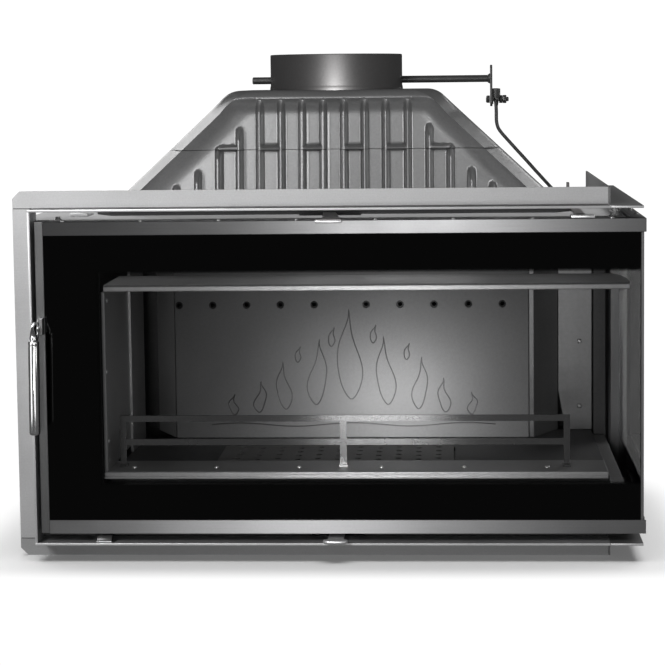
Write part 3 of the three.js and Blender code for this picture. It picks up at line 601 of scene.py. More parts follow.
# ------------------------------------------------------------------------------------------------
# smoke dome: two castings with a recessed, ribbed front between chamfered corners
# ------------------------------------------------------------------------------------------------
FX, FY = 5.0, 290.0
DZ0, DSEAM, DZ1 = 543.3, 648.0, 745.0
RIB_X = [-254, -218, -183.5, -149, -115, -79.8, -45, -10.5, 23.5, 57.5, 92, 128, 163.5, 198, 232, 266.5]
RIB_TOP = [592, 616, 655, 686, 731, 731, 731, 731, 731, 731, 731, 731, 690, 657, 618, 594]
RIB_PAIRS = [(2, 3), (4, 5), (6, 7), (8, 9), (10, 11), (12, 13)]
EDGE_R, EDGE_Z = 16.0, 729.0  # rounding of the top edge, and where it starts
FIL_R = 40.04  # rounding of the silhouette's upper corners


def dome_hw(z):
    if z <= 734.2:
        return 181.6 + (732.8 - z) * 1.069
    k = FIL_R - (DZ1 - min(z, DZ1))
    return 152.8 + math.sqrt(max(0.0, FIL_R ** 2 - k ** 2))


def dome_zs(a):
    a = abs(a)
    if a <= 152.8:
        return DZ1
    if a <= 180.1:
        return DZ1 - (FIL_R - math.sqrt(FIL_R ** 2 - (a - 152.8) ** 2))
    return 732.8 - (a - 181.6) / 1.069


def dome_zc(a):
    """Height of the crease between the front and the chamfer."""
    return dome_zs(a) - 22.4 * smooth01((abs(a) - 125) / 65)


def dome_hd(z):
    e = 0.0 if z <= EDGE_Z else EDGE_R - math.sqrt(max(0.0, EDGE_R ** 2 - (z - EDGE_Z) ** 2))
    return 124 + (DZ1 - z) * 0.09 - e


FIELD_TOP = 732.0
_ca = np.linspace(0, 362, 400)
_crease = np.array([[a, min(dome_zc(a), FIELD_TOP)] for a in _ca])
_side = np.array([[a, dome_zc(a)] for a in np.linspace(128, 364, 300)])
_ribs = [(x - FX, t) for x, t in zip(RIB_X, RIB_TOP)]


def recess(a, z):
    """How far the front lies behind its corner edges: a field that sinks in a wide hollow, with ribs standing in it."""
    zc = dome_zc(a)
    if z >= FIELD_TOP or z >= zc - 0.01:
        return 0.0
    ds = math.sqrt(((_side[:, 0] - abs(a)) ** 2 + (_side[:, 1] - z) ** 2).min()) / 40.0
    dt = (FIELD_TOP - z) / 30.0
    k = 0.25
    h = max(k - abs(ds - dt), 0.0) / k
    u = min(1.0, max(0.0, min(ds, dt) - h * h * k * 0.25))
    base = 15.5 * (1 - (1 - u) ** 2.5)
    best, crest = 0.0, -4.5
    for x, top in _ribs:
        dx = abs(a - x)
        if dx > 9:
            continue
        dz = max(0.0, z - (top - 7.5))
        q = math.hypot(dx, dz)
        hgt = 1.0 if q < 1.2 else (0.0 if q > 7.4 else 0.5 + 0.5 * math.cos(math.pi * (q - 1.2) / 6.2))
        if hgt > best:
            fade = smooth01((z - (top - 22)) / 22)
            best, crest = hgt, -4.5 + (base + 3.0) * 0.75 * fade
    for i, j in RIB_PAIRS:
        x0, x1 = _ribs[i][0], _ribs[j][0]
        if x0 <= a <= x1 and abs(z - 650.6) < 6.5:
            q = abs(z - 650.6)
            hgt = 1.0 if q < 1.6 else (0.0 if q > 6.0 else 0.5 + 0.5 * math.cos(math.pi * (q - 1.6) / 4.4))
            if hgt > best:
                best, crest = hgt, -4.0
    return base + (crest - base) * best


def dome_columns(limit):
    """Column places from the middle out, close together on the ribs."""
    mids = [17.0, 51.2, 86.0, 121.5, 156.3, 190.8, 225.0, 260.2]
    out, a = [0.0], 0.0
    while a < limit - 0.6:
        near = min(abs(a - m) for m in mids)
        a += 1.15 if near < 10.5 else 3.0
        out.append(min(a, limit))
    return out


def dome_shell(z_lo, z_hi, rows, name, replaces):
    lo_limit = 250.0 if z_lo > 600 else None
    # the outermost column: where the crease meets the shell's lower edge
    amax = 181.6 + (732.8 - 22.4 - z_lo) * 1.069
    half = dome_columns(amax)
    cols = [-a for a in reversed(half[1:])] + half
    tops = [min(dome_zc(a), z_hi) for a in cols]
    verts, inner, index = [], [], {}
    B = Build()

    def put(x, y, z, base_y):
        hd, hw = dome_hd(z), dome_hw(z)
        verts.append((FX + x, FY + y, z))
        inner.append((FX + x * (hw - 11) / hw, FY + base_y * (hd - 22) / hd, min(z, 735.0)))
        return len(verts) - 1

    grid = []
    for a, zt in zip(cols, tops):
        flat = max(0.0, min(zt, EDGE_Z) - z_lo)
        phi = math.asin(min(1.0, max(0.0, (zt - EDGE_Z) / EDGE_R))) if zt > EDGE_Z else 0.0
        total = flat + EDGE_R * phi
        col = []
        for r in range(rows + 1):
            s = total * r / rows
            z = z_lo + s if s <= flat else EDGE_Z + EDGE_R * math.sin((s - flat) / EDGE_R)
            z = min(z, zt)
            hd = dome_hd(z)
            f = 0.0 if r == rows and zt < z_hi - 0.01 else recess(a, z)
            if total < 0.5:
                col.append(col[0] if col else put(a, -hd, z, -hd))
            else:
                col.append(put(a, -hd + f, z, -hd))
        grid.append(col)
    faces = []
    for c in range(len(cols) - 1):
        for r in range(rows):
            q = [grid[c][r], grid[c + 1][r], grid[c + 1][r + 1], grid[c][r + 1]]
            u = []
            for i in q:
                if i not in u:
                    u.append(i)
            if len(u) > 2:
                faces.append(tuple(u))
    # rows of the ring round the sides and back start and end on the crease
    n = len(cols)
    crease = [i for i in range(n // 2, n) if tops[i] < z_hi - 0.01 or i == n - 1]
    # from the top down; first make sure that the shell's upper edge has a row of its own
    first = crease[0] - 1
    levels = [(first, z_hi)] + [(i, tops[i]) for i in crease]
    ring_rows = []
    for i, z in levels:
        right, left = grid[i][rows], grid[n - 1 - i][rows]
        xc = abs(cols[i])
        hw, hd = dome_hw(z), dome_hd(z)
        cy = 38 - 20 * smooth01((z - 705) / 38)
        cb = 24 - 10 * smooth01((z - 705) / 38)
        pts = []
        m = 5
        for k in range(1, m + 1):
            t = k / m
            pts.append((xc + (hw - xc) * t, -hd + cy * t))
        ns = 20
        for k in range(1, ns + 1):
            y = -hd + cy + (2 * hd - 2 * cy) * k / ns
            pts.append((hw, y))
        for k in range(1, 4):
            t = k / 3
            pts.append((hw - cb * t, hd - cy * (1 - t)))
        nb = 132
        xb = hw - cb
        for k in range(1, nb):
            x = xb - 2 * xb * k / nb
            w = min(1.0, (xb - abs(x)) / 16.0) * min(1.0, max(0.0, (736 - z) / 14.0))
            bump = max(0.0, math.cos(2 * math.pi * (x - 17.2) / 69.0)) ** 3 * 5.5 * w
            pts.append((x, hd - 4.0 * w + bump))
        pts.append((-xb, hd))
        for k in range(1, 4):
            t = 1 - k / 3
            pts.append((-(hw - cb * t), hd - cy * (1 - t)))
        for k in range(1, ns + 1):
            pts.append((-hw, hd - cy - (2 * hd - 2 * cy) * k / ns))
        for k in range(1, m):
            t = 1 - k / m
            pts.append((-(xc + (hw - xc) * t), -hd + cy * t))
        ids = [right] + [put(x, y, z, y) for x, y in pts] + [left]
        ring_rows.append(ids)
    for r0, r1 in zip(ring_rows, ring_rows[1:]):
        for k in range(len(r0) - 1):
            faces.append((r1[k], r1[k + 1], r0[k + 1], r0[k]))
    # outer and inner skins, joined at the lower and upper rims
    off = len(verts)
    allf = list(faces) + [tuple(off + i for i in reversed(f)) for f in faces]
    bottom = [grid[c][0] for c in range(n)] + ring_rows[-1][1:-1]
    top = [grid[c][rows] for c in range(n - 1 - first, first + 1)] + ring_rows[0][1:-1]
    for loop, way in ((bottom, 1), (top, -1)):
        if way == -1 and z_hi > 700:
            continue
        m = len(loop)
        for k in range(m):
            a, b = loop[k], loop[(k + 1) % m]
            if a != b:
                allf.append((a, off + a, off + b, b) if way == 1 else (b, off + b, off + a, a))
    verts += inner
    if z_hi > 700:
        # flat top with the flue's hole
        m = len(top)
        hole = []
        for k in top:
            x, y = verts[k][0] - FX, verts[k][1] - FY
            t = math.atan2(y, x)
            hole.append((FX + 103 * math.cos(t), FY + 103 * math.sin(t)))
        h0 = len(verts)
        verts += [(x, y, DZ1) for x, y in hole]
        h1 = len(verts)
        verts += [(x, y, 735.0) for x, y in hole]
        for k in range(m):
            j = (k + 1) % m
            allf.append((top[k], top[j], h0 + j, h0 + k))
            allf.append((h0 + k, h0 + j, h1 + j, h1 + k))
            allf.append((h1 + k, h1 + j, off + top[j], off + top[k]))
    B.add(verts, allf)
    ob = piece(B, name, "dome_iron", replaces=replaces, angle=42)
    b = ob.modifiers.new("edge", "BEVEL")
    b.width = 0.0009
    b.segments = 2
    b.limit_method = "ANGLE"
    b.angle_limit = math.radians(42)
    return ob


dome_shell(DZ0, 647.5, 40, "dome_lower_casting", ("dome_lower",))
dome_shell(648.4, DZ1, 42, "dome_upper_casting", ("dome_upper",))

# foot flange of the dome, bolted to the top plate
B = Build()
hw, hd = dome_hw(DZ0) + 9, dome_hd(DZ0) + 9
out = [(hw, -hd + 40), (hw, hd - 40), (hw - 28, hd), (-hw + 28, hd), (-hw, hd - 40), (-hw, -hd + 40), (-hw + 28, -hd), (hw - 28, -hd)]
o = [(FX + x, FY + y) for x, y in out]
i = [(FX + x * (hw - 18) / hw, FY + y * (hd - 18) / hd) for x, y in out]
B.rings([[(x, y, 543.15) for x, y in o], [(x, y, 549.0) for x, y in o], [(x * 0.998 + 0.01, y * 0.998 + 0.58, 550.0) for x, y in o],
         [(x, y, 550.0) for x, y in i], [(x, y, 543.15) for x, y in i]], closed=True)
for x, y in ((-372, 240), (-372, 340), (382, 240), (382, 340), (-200, 435), (5, 435), (210, 435), (-200, 145), (5, 145), (210, 145)):
    B.hex((x, y, 549.5), (0, 0, 1), 10, 0, 5.5)
    B.washer((x, y, 549.5), (0, 0, 1), 8.5, 4.0, -0.2, 1.0)
ob = piece(B, "dome_foot_flange", "cast_iron", angle=35)

# flue collar
B = Build()
B.lathe([(103, 735.5), (112.6, 740), (112.6, 748), (112.2, 750), (111.6, 753), (111.6, 802.6), (111.2, 803.6), (110.2, 804), (104.4, 804), (103.3, 803.4), (103, 802.4)],
        (FX, FY, 0), (0, 0, 1), 160, closed=True)
ob = piece(B, "flue_collar_ring", "collar_steel", replaces=("flue_collar",), angle=30)
C = Build()
C.lathe([(6.5, -140), (6.5, 140)], (FX, FY, 761), (1, 0, 0), 32)
carve(ob, C, 30)

# ------------------------------------------------------------------------------------------------
# damper: plate, shaft, crank, bolt and rod
# ------------------------------------------------------------------------------------------------
B = Build()
B.lathe([(0.01, -0.8), (5.2, -0.8), (6.0, 0.2), (6.0, 401.2), (5.4, 402.0), (0.01, 402.0)], (-137, FY, 761), (1, 0, 0), 40)
# weld bead at the crank
B.lathe([(5.8, 397.6), (7.2, 399.0), (8.4, 401.0), (8.8, 401.9), (5.8, 401.9)], (-137, FY, 761), (1, 0, 0), 40, closed=True)
piece(B, "damper_shaft_bar", "dark_steel", body="damper", replaces=("damper_shaft",), angle=30)

B = Build()
prof = [(0.01, 0.0), (98.5, 0.0), (100, 0.8), (100, 3.4), (98.8, 4.3), (84, 4.3), (82.5, 5.2), (80, 5.2), (78.5, 4.3), (0.01, 4.3)]
B.lathe([(r, t) for r, t in prof], (FX, FY, 767.3), (0, 0, 1), 120)
ob = piece(B, "damper_plate", "cast_iron", body="damper", replaces=("damper_disc",), angle=30)
C = Build()
C.prism([(FX - 28, FY - 110), (FX + 28, FY - 110), (FX + 28, FY - 80), (FX + 20, FY - 72), (FX - 20, FY - 72), (FX - 28, FY - 80)], "XY", 755, 790, r=0)
carve(ob, C, 30)
B = Build()
for dx in (-45, 45):
    B.lathe([(13, 0), (13, 3), (9, 5.5), (0.01, 5.5)], (FX + dx, FY, 771.0), (0, 0, 1), 32)
    B.hex((FX + dx, FY, 771.5), (0, 0, 1), 9, 4.4, 9.5)
piece(B, "damper_plate_bolts", "zinc_steel", body="damper")

# crank: a flat bar with round ends, seen edge-on from the front
B = Build()
out = [(FY + 8 * math.cos(a), 765 + 11 + 8 * math.sin(a)) for a in [math.pi * k / 16 for k in range(17)]]
out += [(FY + 8 * math.cos(a), 722 + 8 * math.sin(a)) for a in [math.pi + math.pi * k / 16 for k in range(17)]]
B.prism(out, "YZ", 265.1, 269.0, r=0.5)
piece(B, "damper_crank", "dark_steel", body="damper", replaces=("damper_lever",), angle=35)

B = Build()
BZ = 726.0
B.hex((0, FY, BZ), (1, 0, 0), 12.5, 259.5, 264.6)
B.lathe([(5.6, 264.4), (5.6, 258.8), (4.6, 258.2), (0.01, 258.0)], (0, FY, BZ), (1, 0, 0), 32)
B.thread((0, FY, BZ), (1, 0, 0), 3.9, 265, 296.5)
B.hex((0, FY, BZ), (1, 0, 0), 12.5, 280.4, 286.2, turn=0.2)
B.hex((0, FY, BZ), (1, 0, 0), 12.5, 286.5, 292.6, turn=0.75)
B.washer((0, FY, BZ), (1, 0, 0), 8.6, 4.0, 269.2, 270.5)
tilt = Vector((1, 0, -0.16))
B.washer((279.2, FY, BZ - 1), tilt, 11.0, 4.2, -0.7, 0.6)
piece(B, "crank_bolt_set", "dark_steel", body="damper", replaces=("crank_bolt",), angle=35)

B = Build()
rod = [(274.4, 743.5), (274.4, 737), (274.4, 730), (274.6, 722), (275.2, 714), (275.5, 705), (275.5, 697), (275.7, 690), (276.6, 684), (278.6, 677.5), (282.4, 671.5), (288, 664.6),
       (305, 645.5), (325, 623.3), (345, 600.8), (362, 582.0), (374, 568.8), (380.5, 561.8), (385, 557.4), (390, 554.6), (396, 554.0), (403.5, 554.0)]
P3 = [Vector((x, FY, z)) for x, z in rod]


def spline(points, per=6):
    pts = [Vector(q) for q in points]
    out = []
    n = len(pts)
    for i in range(n - 1):
        p0, p1, p2, p3 = pts[max(i - 1, 0)], pts[i], pts[i + 1], pts[min(i + 2, n - 1)]
        for k in range(per):
            t = k / per
            out.append(0.5 * ((2 * p1) + (p2 - p0) * t + (2 * p0 - 5 * p1 + 4 * p2 - p3) * t * t + (3 * p1 - 3 * p2 + p3 - p0) * t ** 3))
    out.append(pts[-1])
    return out


def flat_eye(t):
    k = 1 - smooth01((t - 0.105) / 0.06)
    return (1 + 1.6 * k, 1 - 0.15 * k)


path = spline(P3, 5)
B.tube(path, 3.0, 18, flat=lambda t: (1.0, 1.0 + 1.7 * (1 - smooth01((t - 0.09) / 0.06))))
piece(B, "link_rod_bent", "dark_steel", body="damper_link", replaces=("link_rod",), angle=40)

# ------------------------------------------------------------------------------------------------
# fireback: a plate with air holes and a design of its own, drawn in thin rods darker than the plate as a painted shade
# of engraved grooves
# ------------------------------------------------------------------------------------------------
HOLES = [-287, -227, -166.5, -106.3, -46.2, 46.2, 106.3, 166.5, 227, 287]
B = Build()
B.box(-295, 333, 400, 409, 126.3, 456, r=1.2)
ob = piece(B, "fireback_plate", "fireback_iron", replaces=("fireback",), angle=30)
C = Build()
for x in HOLES:
    C.lathe([(0.01, -14), (6.4, -14), (6.4, -1.0), (7.6, 0.4), (7.6, 3), (0.01, 3)], (x, 400, 365), (0, -1, 0), 28)
carve(ob, C, 30)


def tongue(x, z, h, w, lean, curl=1.0):
    """Closed outline of a leaf-like tongue: two S curves from a round foot to a bent tip."""
    L = []
    for k in range(31):
        t = k / 30
        s = math.sin(math.pi * min(1.0, t * 1.05) ** 0.75)
        cx = x + lean * (t ** 1.6) + curl * 5.0 * math.sin(2.6 * math.pi * t) * t
        L.append((cx, z + h * t, w * (0.10 + 0.9 * s) * (1 - t ** 3)))
    left = [(cx - r, zz) for cx, zz, r in L]
    right = [(cx + r * 0.9, zz) for cx, zz, r in reversed(L[:-1])]
    return left + right


G = Build()


def groove(pts2, closed=True, r=1.15):
    pts = [Vector((a, 400.35, b)) for a, b in pts2]
    n = len(pts)
    rings = []
    for i in range(n):
        t = (pts[(i + 1) % n] - pts[i - 1]) if closed else (pts[min(i + 1, n - 1)] - pts[max(i - 1, 0)])
        t.normalize()
        w = Vector((0, 1, 0))
        u = w.cross(t).normalized()
        rings.append([pts[i] + (u * math.cos(2 * math.pi * j / 8) + w * math.sin(2 * math.pi * j / 8)) * r for j in range(8)])
    G.rings(rings, closed=closed)


for x, z, h, w, lean, curl in ((19, 196, 132, 19, -9, 1.0), (-44, 186, 96, 14, 12, -1.0), (84, 186, 100, 14, -13, 1.0), (-98, 178, 70, 11, -10, 1.0), (138, 178, 76, 11, 11, -1.0),
                               (-146, 172, 46, 8.5, 9, -1.0), (186, 172, 50, 8.5, -9, 1.0), (-190, 168, 30, 6.5, -5, 1.0), (232, 168, 32, 6.5, 5, -1.0)):
    groove(tongue(x, z, h * 1.22, w * 1.25, lean, curl))
for x, z, h, w in ((-16, 290, 34, 6.2), (58, 296, 32, 6.0), (-76, 262, 28, 5.4), (117, 266, 29, 5.4)):
    groove(tongue(x, z, h, w, 3, 0.4))
groove([(-232 + 506 * k / 60, 150 + 3.0 * math.sin(math.pi * 5 * k / 60)) for k in range(61)], closed=False)
# the design's rods are darker than the plate: a painted shade for engraved grooves
piece(G, "fireback_relief", "groove_painted_shade", angle=60, tidy=False)
B = Build()
for x in HOLES:
    B.lathe([(4.0, 1.0), (6.0, 1.0), (6.35, 1.6), (6.35, 8.6), (4.0, 8.6)], (x, 400, 365), (0, 1, 0), 28, closed=True)
piece(B, "air_nozzles", "dark_steel", angle=30)

# ------------------------------------------------------------------------------------------------
# fasteners
# ------------------------------------------------------------------------------------------------
B = Build()
for x in (-412.6, -289, -165.8, -43.6, 80, 202, 325, 448):
    B.screw((x, 8, 543), (0, 0, 1), 3.6, 2.1)
for y in (90, 200, 310, 400):
    B.screw((493, y, 543), (0, 0, 1), 3.6, 2.1)
piece(B, "rail_screws", "screw_steel", body="door")
B = Build()
for x in (-318.5, -185, -50.5, 83.4, 216.3, 350):
    B.screw((x, 77, 137), (0, 0, 1), 4.0, 2.2)
piece(B, "sill_screws", "screw_steel")
B = Build()
for y, z in ((59, 412), (45, 299), (38 + 12, 186)):
    B.screw((-355, y, z), (1, 0, 0), 3.8, 2.2)
for x, z in ((427, 287), (427, 169)):
    B.screw((x, 480, z), (0, -1, 0), 4.2, 2.4)
piece(B, "lining_screws", "screw_steel")

# ------------------------------------------------------------------------------------------------
# handle: round grip with a rim and a soft end, forged arm, inner finger, pivot bolt
# ------------------------------------------------------------------------------------------------
B = Build()
B.lathe([(0.01, -74.0), (4.6, -73.9), (7.0, -73.2), (8.1, -71.8), (8.55, -69.5), (8.55, 65.0), (8.2, 66.0), (8.2, 67.6), (8.55, 68.6), (8.55, 72.4), (7.9, 73.7), (6.4, 74.0), (0.01, 74.0)],
        (-452.5, -46, 287), (1.6, 0, 148), 56)
piece(B, "handle_grip_bar", "bright_steel", body="handle", replaces=("handle_grip",), angle=28)
B = Build()
arm = spline([(-454.2, -9, 378), (-454.2, -17, 382.5), (-454.0, -27, 381.8), (-453.4, -37, 377), (-452.4, -43.8, 370.5), (-451.9, -45.8, 362.0)])
B.tube(arm, lambda t: 5.6 - 1.3 * math.sin(math.pi * min(1, t * 1.1)) + (0.5 if t > 0.85 else 0), n=24, flat=lambda t: (1.0, 0.86 + 0.14 * t))
B.lathe([(4.3, -4.6), (8.2, -4.6), (8.8, -4.0), (8.8, 3.6), (8.2, 4.2), (4.3, 4.2)], (-454.0, -9, 378), (1, 0, 0), 40, closed=True)
finger = spline([(-452.0, -10, 369), (-452.4, -16, 362), (-452.8, -21, 353), (-453.2, -24, 344), (-453.4, -25, 338)])
B.tube(finger, lambda t: 2.8 - 1.2 * t, n=18, flat=(0.8, 1.2))
piece(B, "handle_arm_forged", "bright_steel", body="handle", replaces=("handle_arm",), angle=45)
B = Build()
B.hex((-462.4, -9, 378), (1, 0, 0), 8.6, 0.1, 3.0)
B.screw((-448.8, -9, 378), (1, 0, 0), 5.2, 2.4)
piece(B, "handle_pivot_bolt", "screw_steel", body="handle", angle=35)

# ------------------------------------------------------------------------------------------------
# trim: lighter strips over the sheet's front edges as a painted highlight, dark sheets in the bends as painted shade,
# seams at the corners
# ------------------------------------------------------------------------------------------------
# lighter strips over the front edges of the trim's legs: a painted highlight
B = Build()
B.box(-467.2, 445.4, -0.35, 1.2, 558.9, 562.2, r=0.3)
B.box(-467.2, 445.4, -0.35, 1.2, 26.9, 30.2, r=0.3)
B.box(-467.2, -464.5, -0.35, 1.2, 31.0, 558.2, r=0.3)
B.box(446.2, 496.6, -0.35, 1.2, 558.9, 562.2, r=0.3)
B.box(446.2, 496.6, -0.35, 1.2, 26.9, 30.2, r=0.3)
piece(B, "trim_edges_painted_highlight", "trim_highlight", angle=30)
# thin dark sheets on the top leg and along the foot of the flange: painted shade in the bend
B = Build()
B.box(-466.0, 444.8, 3.0, 46.6, 562.45, 562.75, r=0.1)
B.box(-500.2, 444.8, 49.9, 50.25, 558.6, 561.6, r=0.1)
piece(B, "trim_bend_painted_shade", "seam_and_shade_steel", angle=30)
B = Build()
for z in (561.6, 27.9):
    B.tube([(-499.5, 46.6, z), (-484.0, 46.55, z), (-468.5, 46.6, z)], 0.55, n=8)
piece(B, "trim_corner_seams", "seam_and_shade_steel", angle=50)

# ------------------------------------------------------------------------------------------------
# top plate: corner bolts, tab, a lighter strip on the control's grip as a painted highlight
# ------------------------------------------------------------------------------------------------
B = Build()
for x, y in ((466.0, 160), (452.0, 55), (-430, 58), (-430, 470), (440, 520)):
    B.washer((x, y, 543.1), (0, 0, 1), 6.4, 2.4, 0.0, 1.0)
    B.hex((x, y, 543.6), (0, 0, 1), 7.6, 0.3, 4.2)
piece(B, "top_plate_bolts", "screw_steel", angle=35)
# the lifting tab takes the lighter copy of the trim steel, a painted highlight
B = Build()
B.prism([(-424, 128), (-395, 128), (-395, 182), (-424, 182)], "XY", 543.1, 544.9, r=0.5)
B.box(-424, -395, 126.5, 129.5, 543.1, 549.0, r=0.5)
piece(B, "lifting_tab", "trim_highlight", angle=30)
# lighter strip on the front edge of the dark control grip: a painted highlight
B = Build()
B.box(384.2, 420.8, -5.6, -2.4, 543.9, 547.9, r=0.9)
B.box(386.0, 419.0, -3.0, 20.0, 547.2, 547.9, r=0.2)
piece(B, "control_grip_highlight", "satin_steel_and_highlight", body="damper_grip", angle=35)
# lighter strip on the front edge of the dark air slider: a painted highlight
B = Build()
B.box(-11.4, 29.2, -36.0, -33.6, 541.2, 545.0, r=0.9)
piece(B, "slider_highlight_strip", "satin_steel_and_highlight", body="top_air", angle=35)
B = Build()
B.tube([(-5.2, -5, 35.0), (-5.2, -9, 35.0), (-3.2, -13, 35.0), (2.5, -15.0, 35.0), (12.5, -15.2, 35.0), (22.5, -15.0, 35.0), (28.2, -13, 35.0), (30.2, -9, 35.0), (30.2, -5, 35.0)], 2.9, n=16, flat=(0.75, 1.0))
piece(B, "lever_lip", "satin_steel_and_highlight", body="low_air", angle=50)

# door rest: folded clip on the bottom leg of the trim
B = Build()
B.prism([(2, 31.0), (14, 31.0), (14, 42.5), (11, 43.5), (4, 38.5), (2, 35.0)], "YZ", -368.5, -345.0, r=0.4)
piece(B, "door_rest_clip", "dark_steel", angle=30)
# lighter strip on the front edge of the dark clip: a painted highlight
B = Build()
B.box(-368.8, -344.6, 0.6, 2.6, 31.0, 33.4, r=0.5)
piece(B, "door_rest_highlight_strip", "satin_steel_and_highlight", angle=30)

# sealed joint along the corner of the two panes
B = Build()
B.box(493.6, 497.5, 2.0, 3.2, 59.5, 529.5, r=0.5)
piece(B, "pane_joint_strip", "joint_strip", body="door", angle=35)

# ------------------------------------------------------------------------------------------------
# braided rope seals on the back of the door frame
# ------------------------------------------------------------------------------------------------
def rope(path, width, height, step=2.2, lay=9.0):
    """Plait squeezed flat: the section swells and turns along its length."""
    pts = []
    for a, b in zip(path, path[1:]):
        a, b = Vector(a), Vector(b)
        n = max(2, int((b - a).length / step))
        for k in range(n):
            pts.append(a + (b - a) * (k / n))
    pts.append(Vector(path[-1]))
    m, rings, s = len(pts), [], 0.0
    for i in range(m):
        t = (pts[min(i + 1, m - 1)] - pts[max(i - 1, 0)]).normalized()
        u = Vector((0, 1, 0))
        w = t.cross(u).normalized()
        if i:
            s += (pts[i] - pts[i - 1]).length
        ring = []
        for j in range(14):
            q = 2 * math.pi * j / 14
            k = 0.90 + 0.09 * math.cos(3 * q - 2 * math.pi * s / lay)
            ring.append(pts[i] + u * math.cos(q) * width * 0.5 * k + w * math.sin(q) * height * 0.5 * k)
        rings.append(ring)
    return rings


for name, z, node in (("seal_rope_upper", 527, "seal_upper"), ("seal_rope_lower", 60, "seal_lower")):
    B = Build()
    B.rings(rope([(-443.2, 29, z), (478.2, 29, z)], 5.2, 7.6))
    rings = []
    for i in range(180):
        y = 32.0 + (427.2 - 32.0) * i / 179
        ring = []
        for j in range(14):
            q = 2 * math.pi * j / 14
            k = 0.90 + 0.09 * math.cos(3 * q - 2 * math.pi * y / 9.0)
            ring.append(Vector((475.4 + 3.0 * k * math.cos(q), y, z + 3.9 * k * math.sin(q))))
        rings.append(ring)
    B.rings(rings)
    piece(B, name, "rope_seal", body="door", replaces=(node,), angle=60)
B = Build()
B.rings(rope([(-447.5, 29, 56.4), (-447.5, 29, 530.6)], 5.2, 6.8))
piece(B, "seal_rope_left", "rope_seal", body="door", replaces=("seal_left",), angle=60)

# ------------------------------------------------------------------------------------------------
# outer walls: cast ribs, bosses and bolts, feet
# ------------------------------------------------------------------------------------------------
B = Build()
for z0, z1 in ((135, 150), (318, 330), (500, 515)):
    B.box(-442.2, -439.4, 90, 560, z0, z1, r=1.1)
for y in (96, 205, 320, 435, 550):
    B.box(-442.0, -439.4, y - 6, y + 6, 135, 515, r=1.0)
for y in (150, 262, 377, 492):
    B.lathe([(0.01, 0.0), (8.0, 0.0), (7.2, 2.0), (6.4, 2.3), (0.01, 2.3)], (-440, y, 415), (-1, 0, 0), 28)
    B.hex((-442.0, y, 415), (-1, 0, 0), 4.6, 0.0, 2.4)
piece(B, "left_wall_ribs", "cast_iron", angle=35)
B = Build()
for z0, z1 in ((140, 155), (325, 337), (500, 515)):
    B.box(-415, 450, 571.4, 574.2, z0, z1, r=1.1)
for x in (-409, -205, 0, 205, 444):
    B.box(x - 6, x + 6, 571.4, 574.0, 140, 515, r=1.0)
for x in (-310, -100, 100, 320):
    B.lathe([(0.01, 0.0), (9.0, 0.0), (8.2, 2.0), (7.2, 2.3), (0.01, 2.3)], (x, 572, 425), (0, 1, 0), 28)
    B.hex((x, 574.0, 425), (0, 1, 0), 5.2, 0.0, 2.4)
piece(B, "rear_wall_ribs", "cast_iron", angle=35)
B = Build()
for x, y in ((-400, 110), (-400, 530), (400, 110), (400, 530)):
    B.lathe([(0.01, 0.2), (26.0, 0.2), (26.0, 5.0), (22.0, 7.5), (0.01, 7.5)], (x, y, 0), (0, 0, 1), 32)
piece(B, "base_foot_pads", "cast_iron", angle=35)

# ------------------------------------------------------------------------------------------------
# studio: pale floor, soft lights, camera
# ------------------------------------------------------------------------------------------------
floor_mesh = bpy.data.meshes.new("studio_floor")
S = 30.0
floor_mesh.from_pydata([(-S, -S, 0), (S, -S, 0), (S, S, 0), (-S, S, 0)], [], [(0, 1, 2, 3)])
floor = bpy.data.objects.new("studio_floor", floor_mesh)
bpy.context.scene.collection.objects.link(floor)
fm = bpy.data.materials.new("studio_floor")
fm.use_nodes = True
nt = fm.node_tree
nt.nodes.clear()
o = nt.nodes.new("ShaderNodeOutputMaterial")
df = nt.nodes.new("ShaderNodeBsdfDiffuse")
df.inputs["Color"].default_value = (0.85, 0.85, 0.85, 1)
em = nt.nodes.new("ShaderNodeEmission")
em.inputs["Strength"].default_value = 1.05
under = nt.nodes.new("ShaderNodeEmission")
under.inputs["Strength"].default_value = 0.11
lit = nt.nodes.new("ShaderNodeAddShader")
nt.links.new(df.outputs[0], lit.inputs[0])
nt.links.new(under.outputs[0], lit.inputs[1])
near = nt.nodes.new("ShaderNodeMixShader")
tc = nt.nodes.new("ShaderNodeTexCoord")
# distance outside the insert's footprint, so the soft contact shadow fades into a white ground
prev = tc.outputs["Object"]
for op, arg in (("SUBTRACT", (0, 0.0025, 0)), ("ABSOLUTE", None), ("SUBTRACT", (0.501, 0.2925, 0)), ("MAXIMUM", (0, 0, 0))):
    vm = nt.nodes.new("ShaderNodeVectorMath")
    vm.operation = op
    nt.links.new(prev, vm.inputs[0])
    if arg is not None:
        vm.inputs[1].default_value = arg
    prev = vm.outputs[0]
ln = nt.nodes.new("ShaderNodeVectorMath")
ln.operation = "LENGTH"
nt.links.new(prev, ln.inputs[0])
rr = nt.nodes.new("ShaderNodeMapRange")
rr.interpolation_type = "SMOOTHSTEP"
rr.inputs["From Min"].default_value = 0.033
rr.inputs["From Max"].default_value = 0.132
nt.links.new(ln.outputs["Value"], rr.inputs["Value"])
nt.links.new(rr.outputs["Result"], near.inputs[0])
nt.links.new(lit.outputs[0], near.inputs[1])
nt.links.new(em.outputs[0], near.inputs[2])
dim = nt.nodes.new("ShaderNodeEmission")
dim.inputs["Strength"].default_value = 0.10
lp = nt.nodes.new("ShaderNodeLightPath")
mx = nt.nodes.new("ShaderNodeMixShader")
nt.links.new(lp.outputs["Is Camera Ray"], mx.inputs[0])
nt.links.new(dim.outputs[0], mx.inputs[1])
nt.links.new(near.outputs[0], mx.inputs[2])
nt.links.new(mx.outputs[0], o.inputs[0])
floor.data.materials.append(fm)

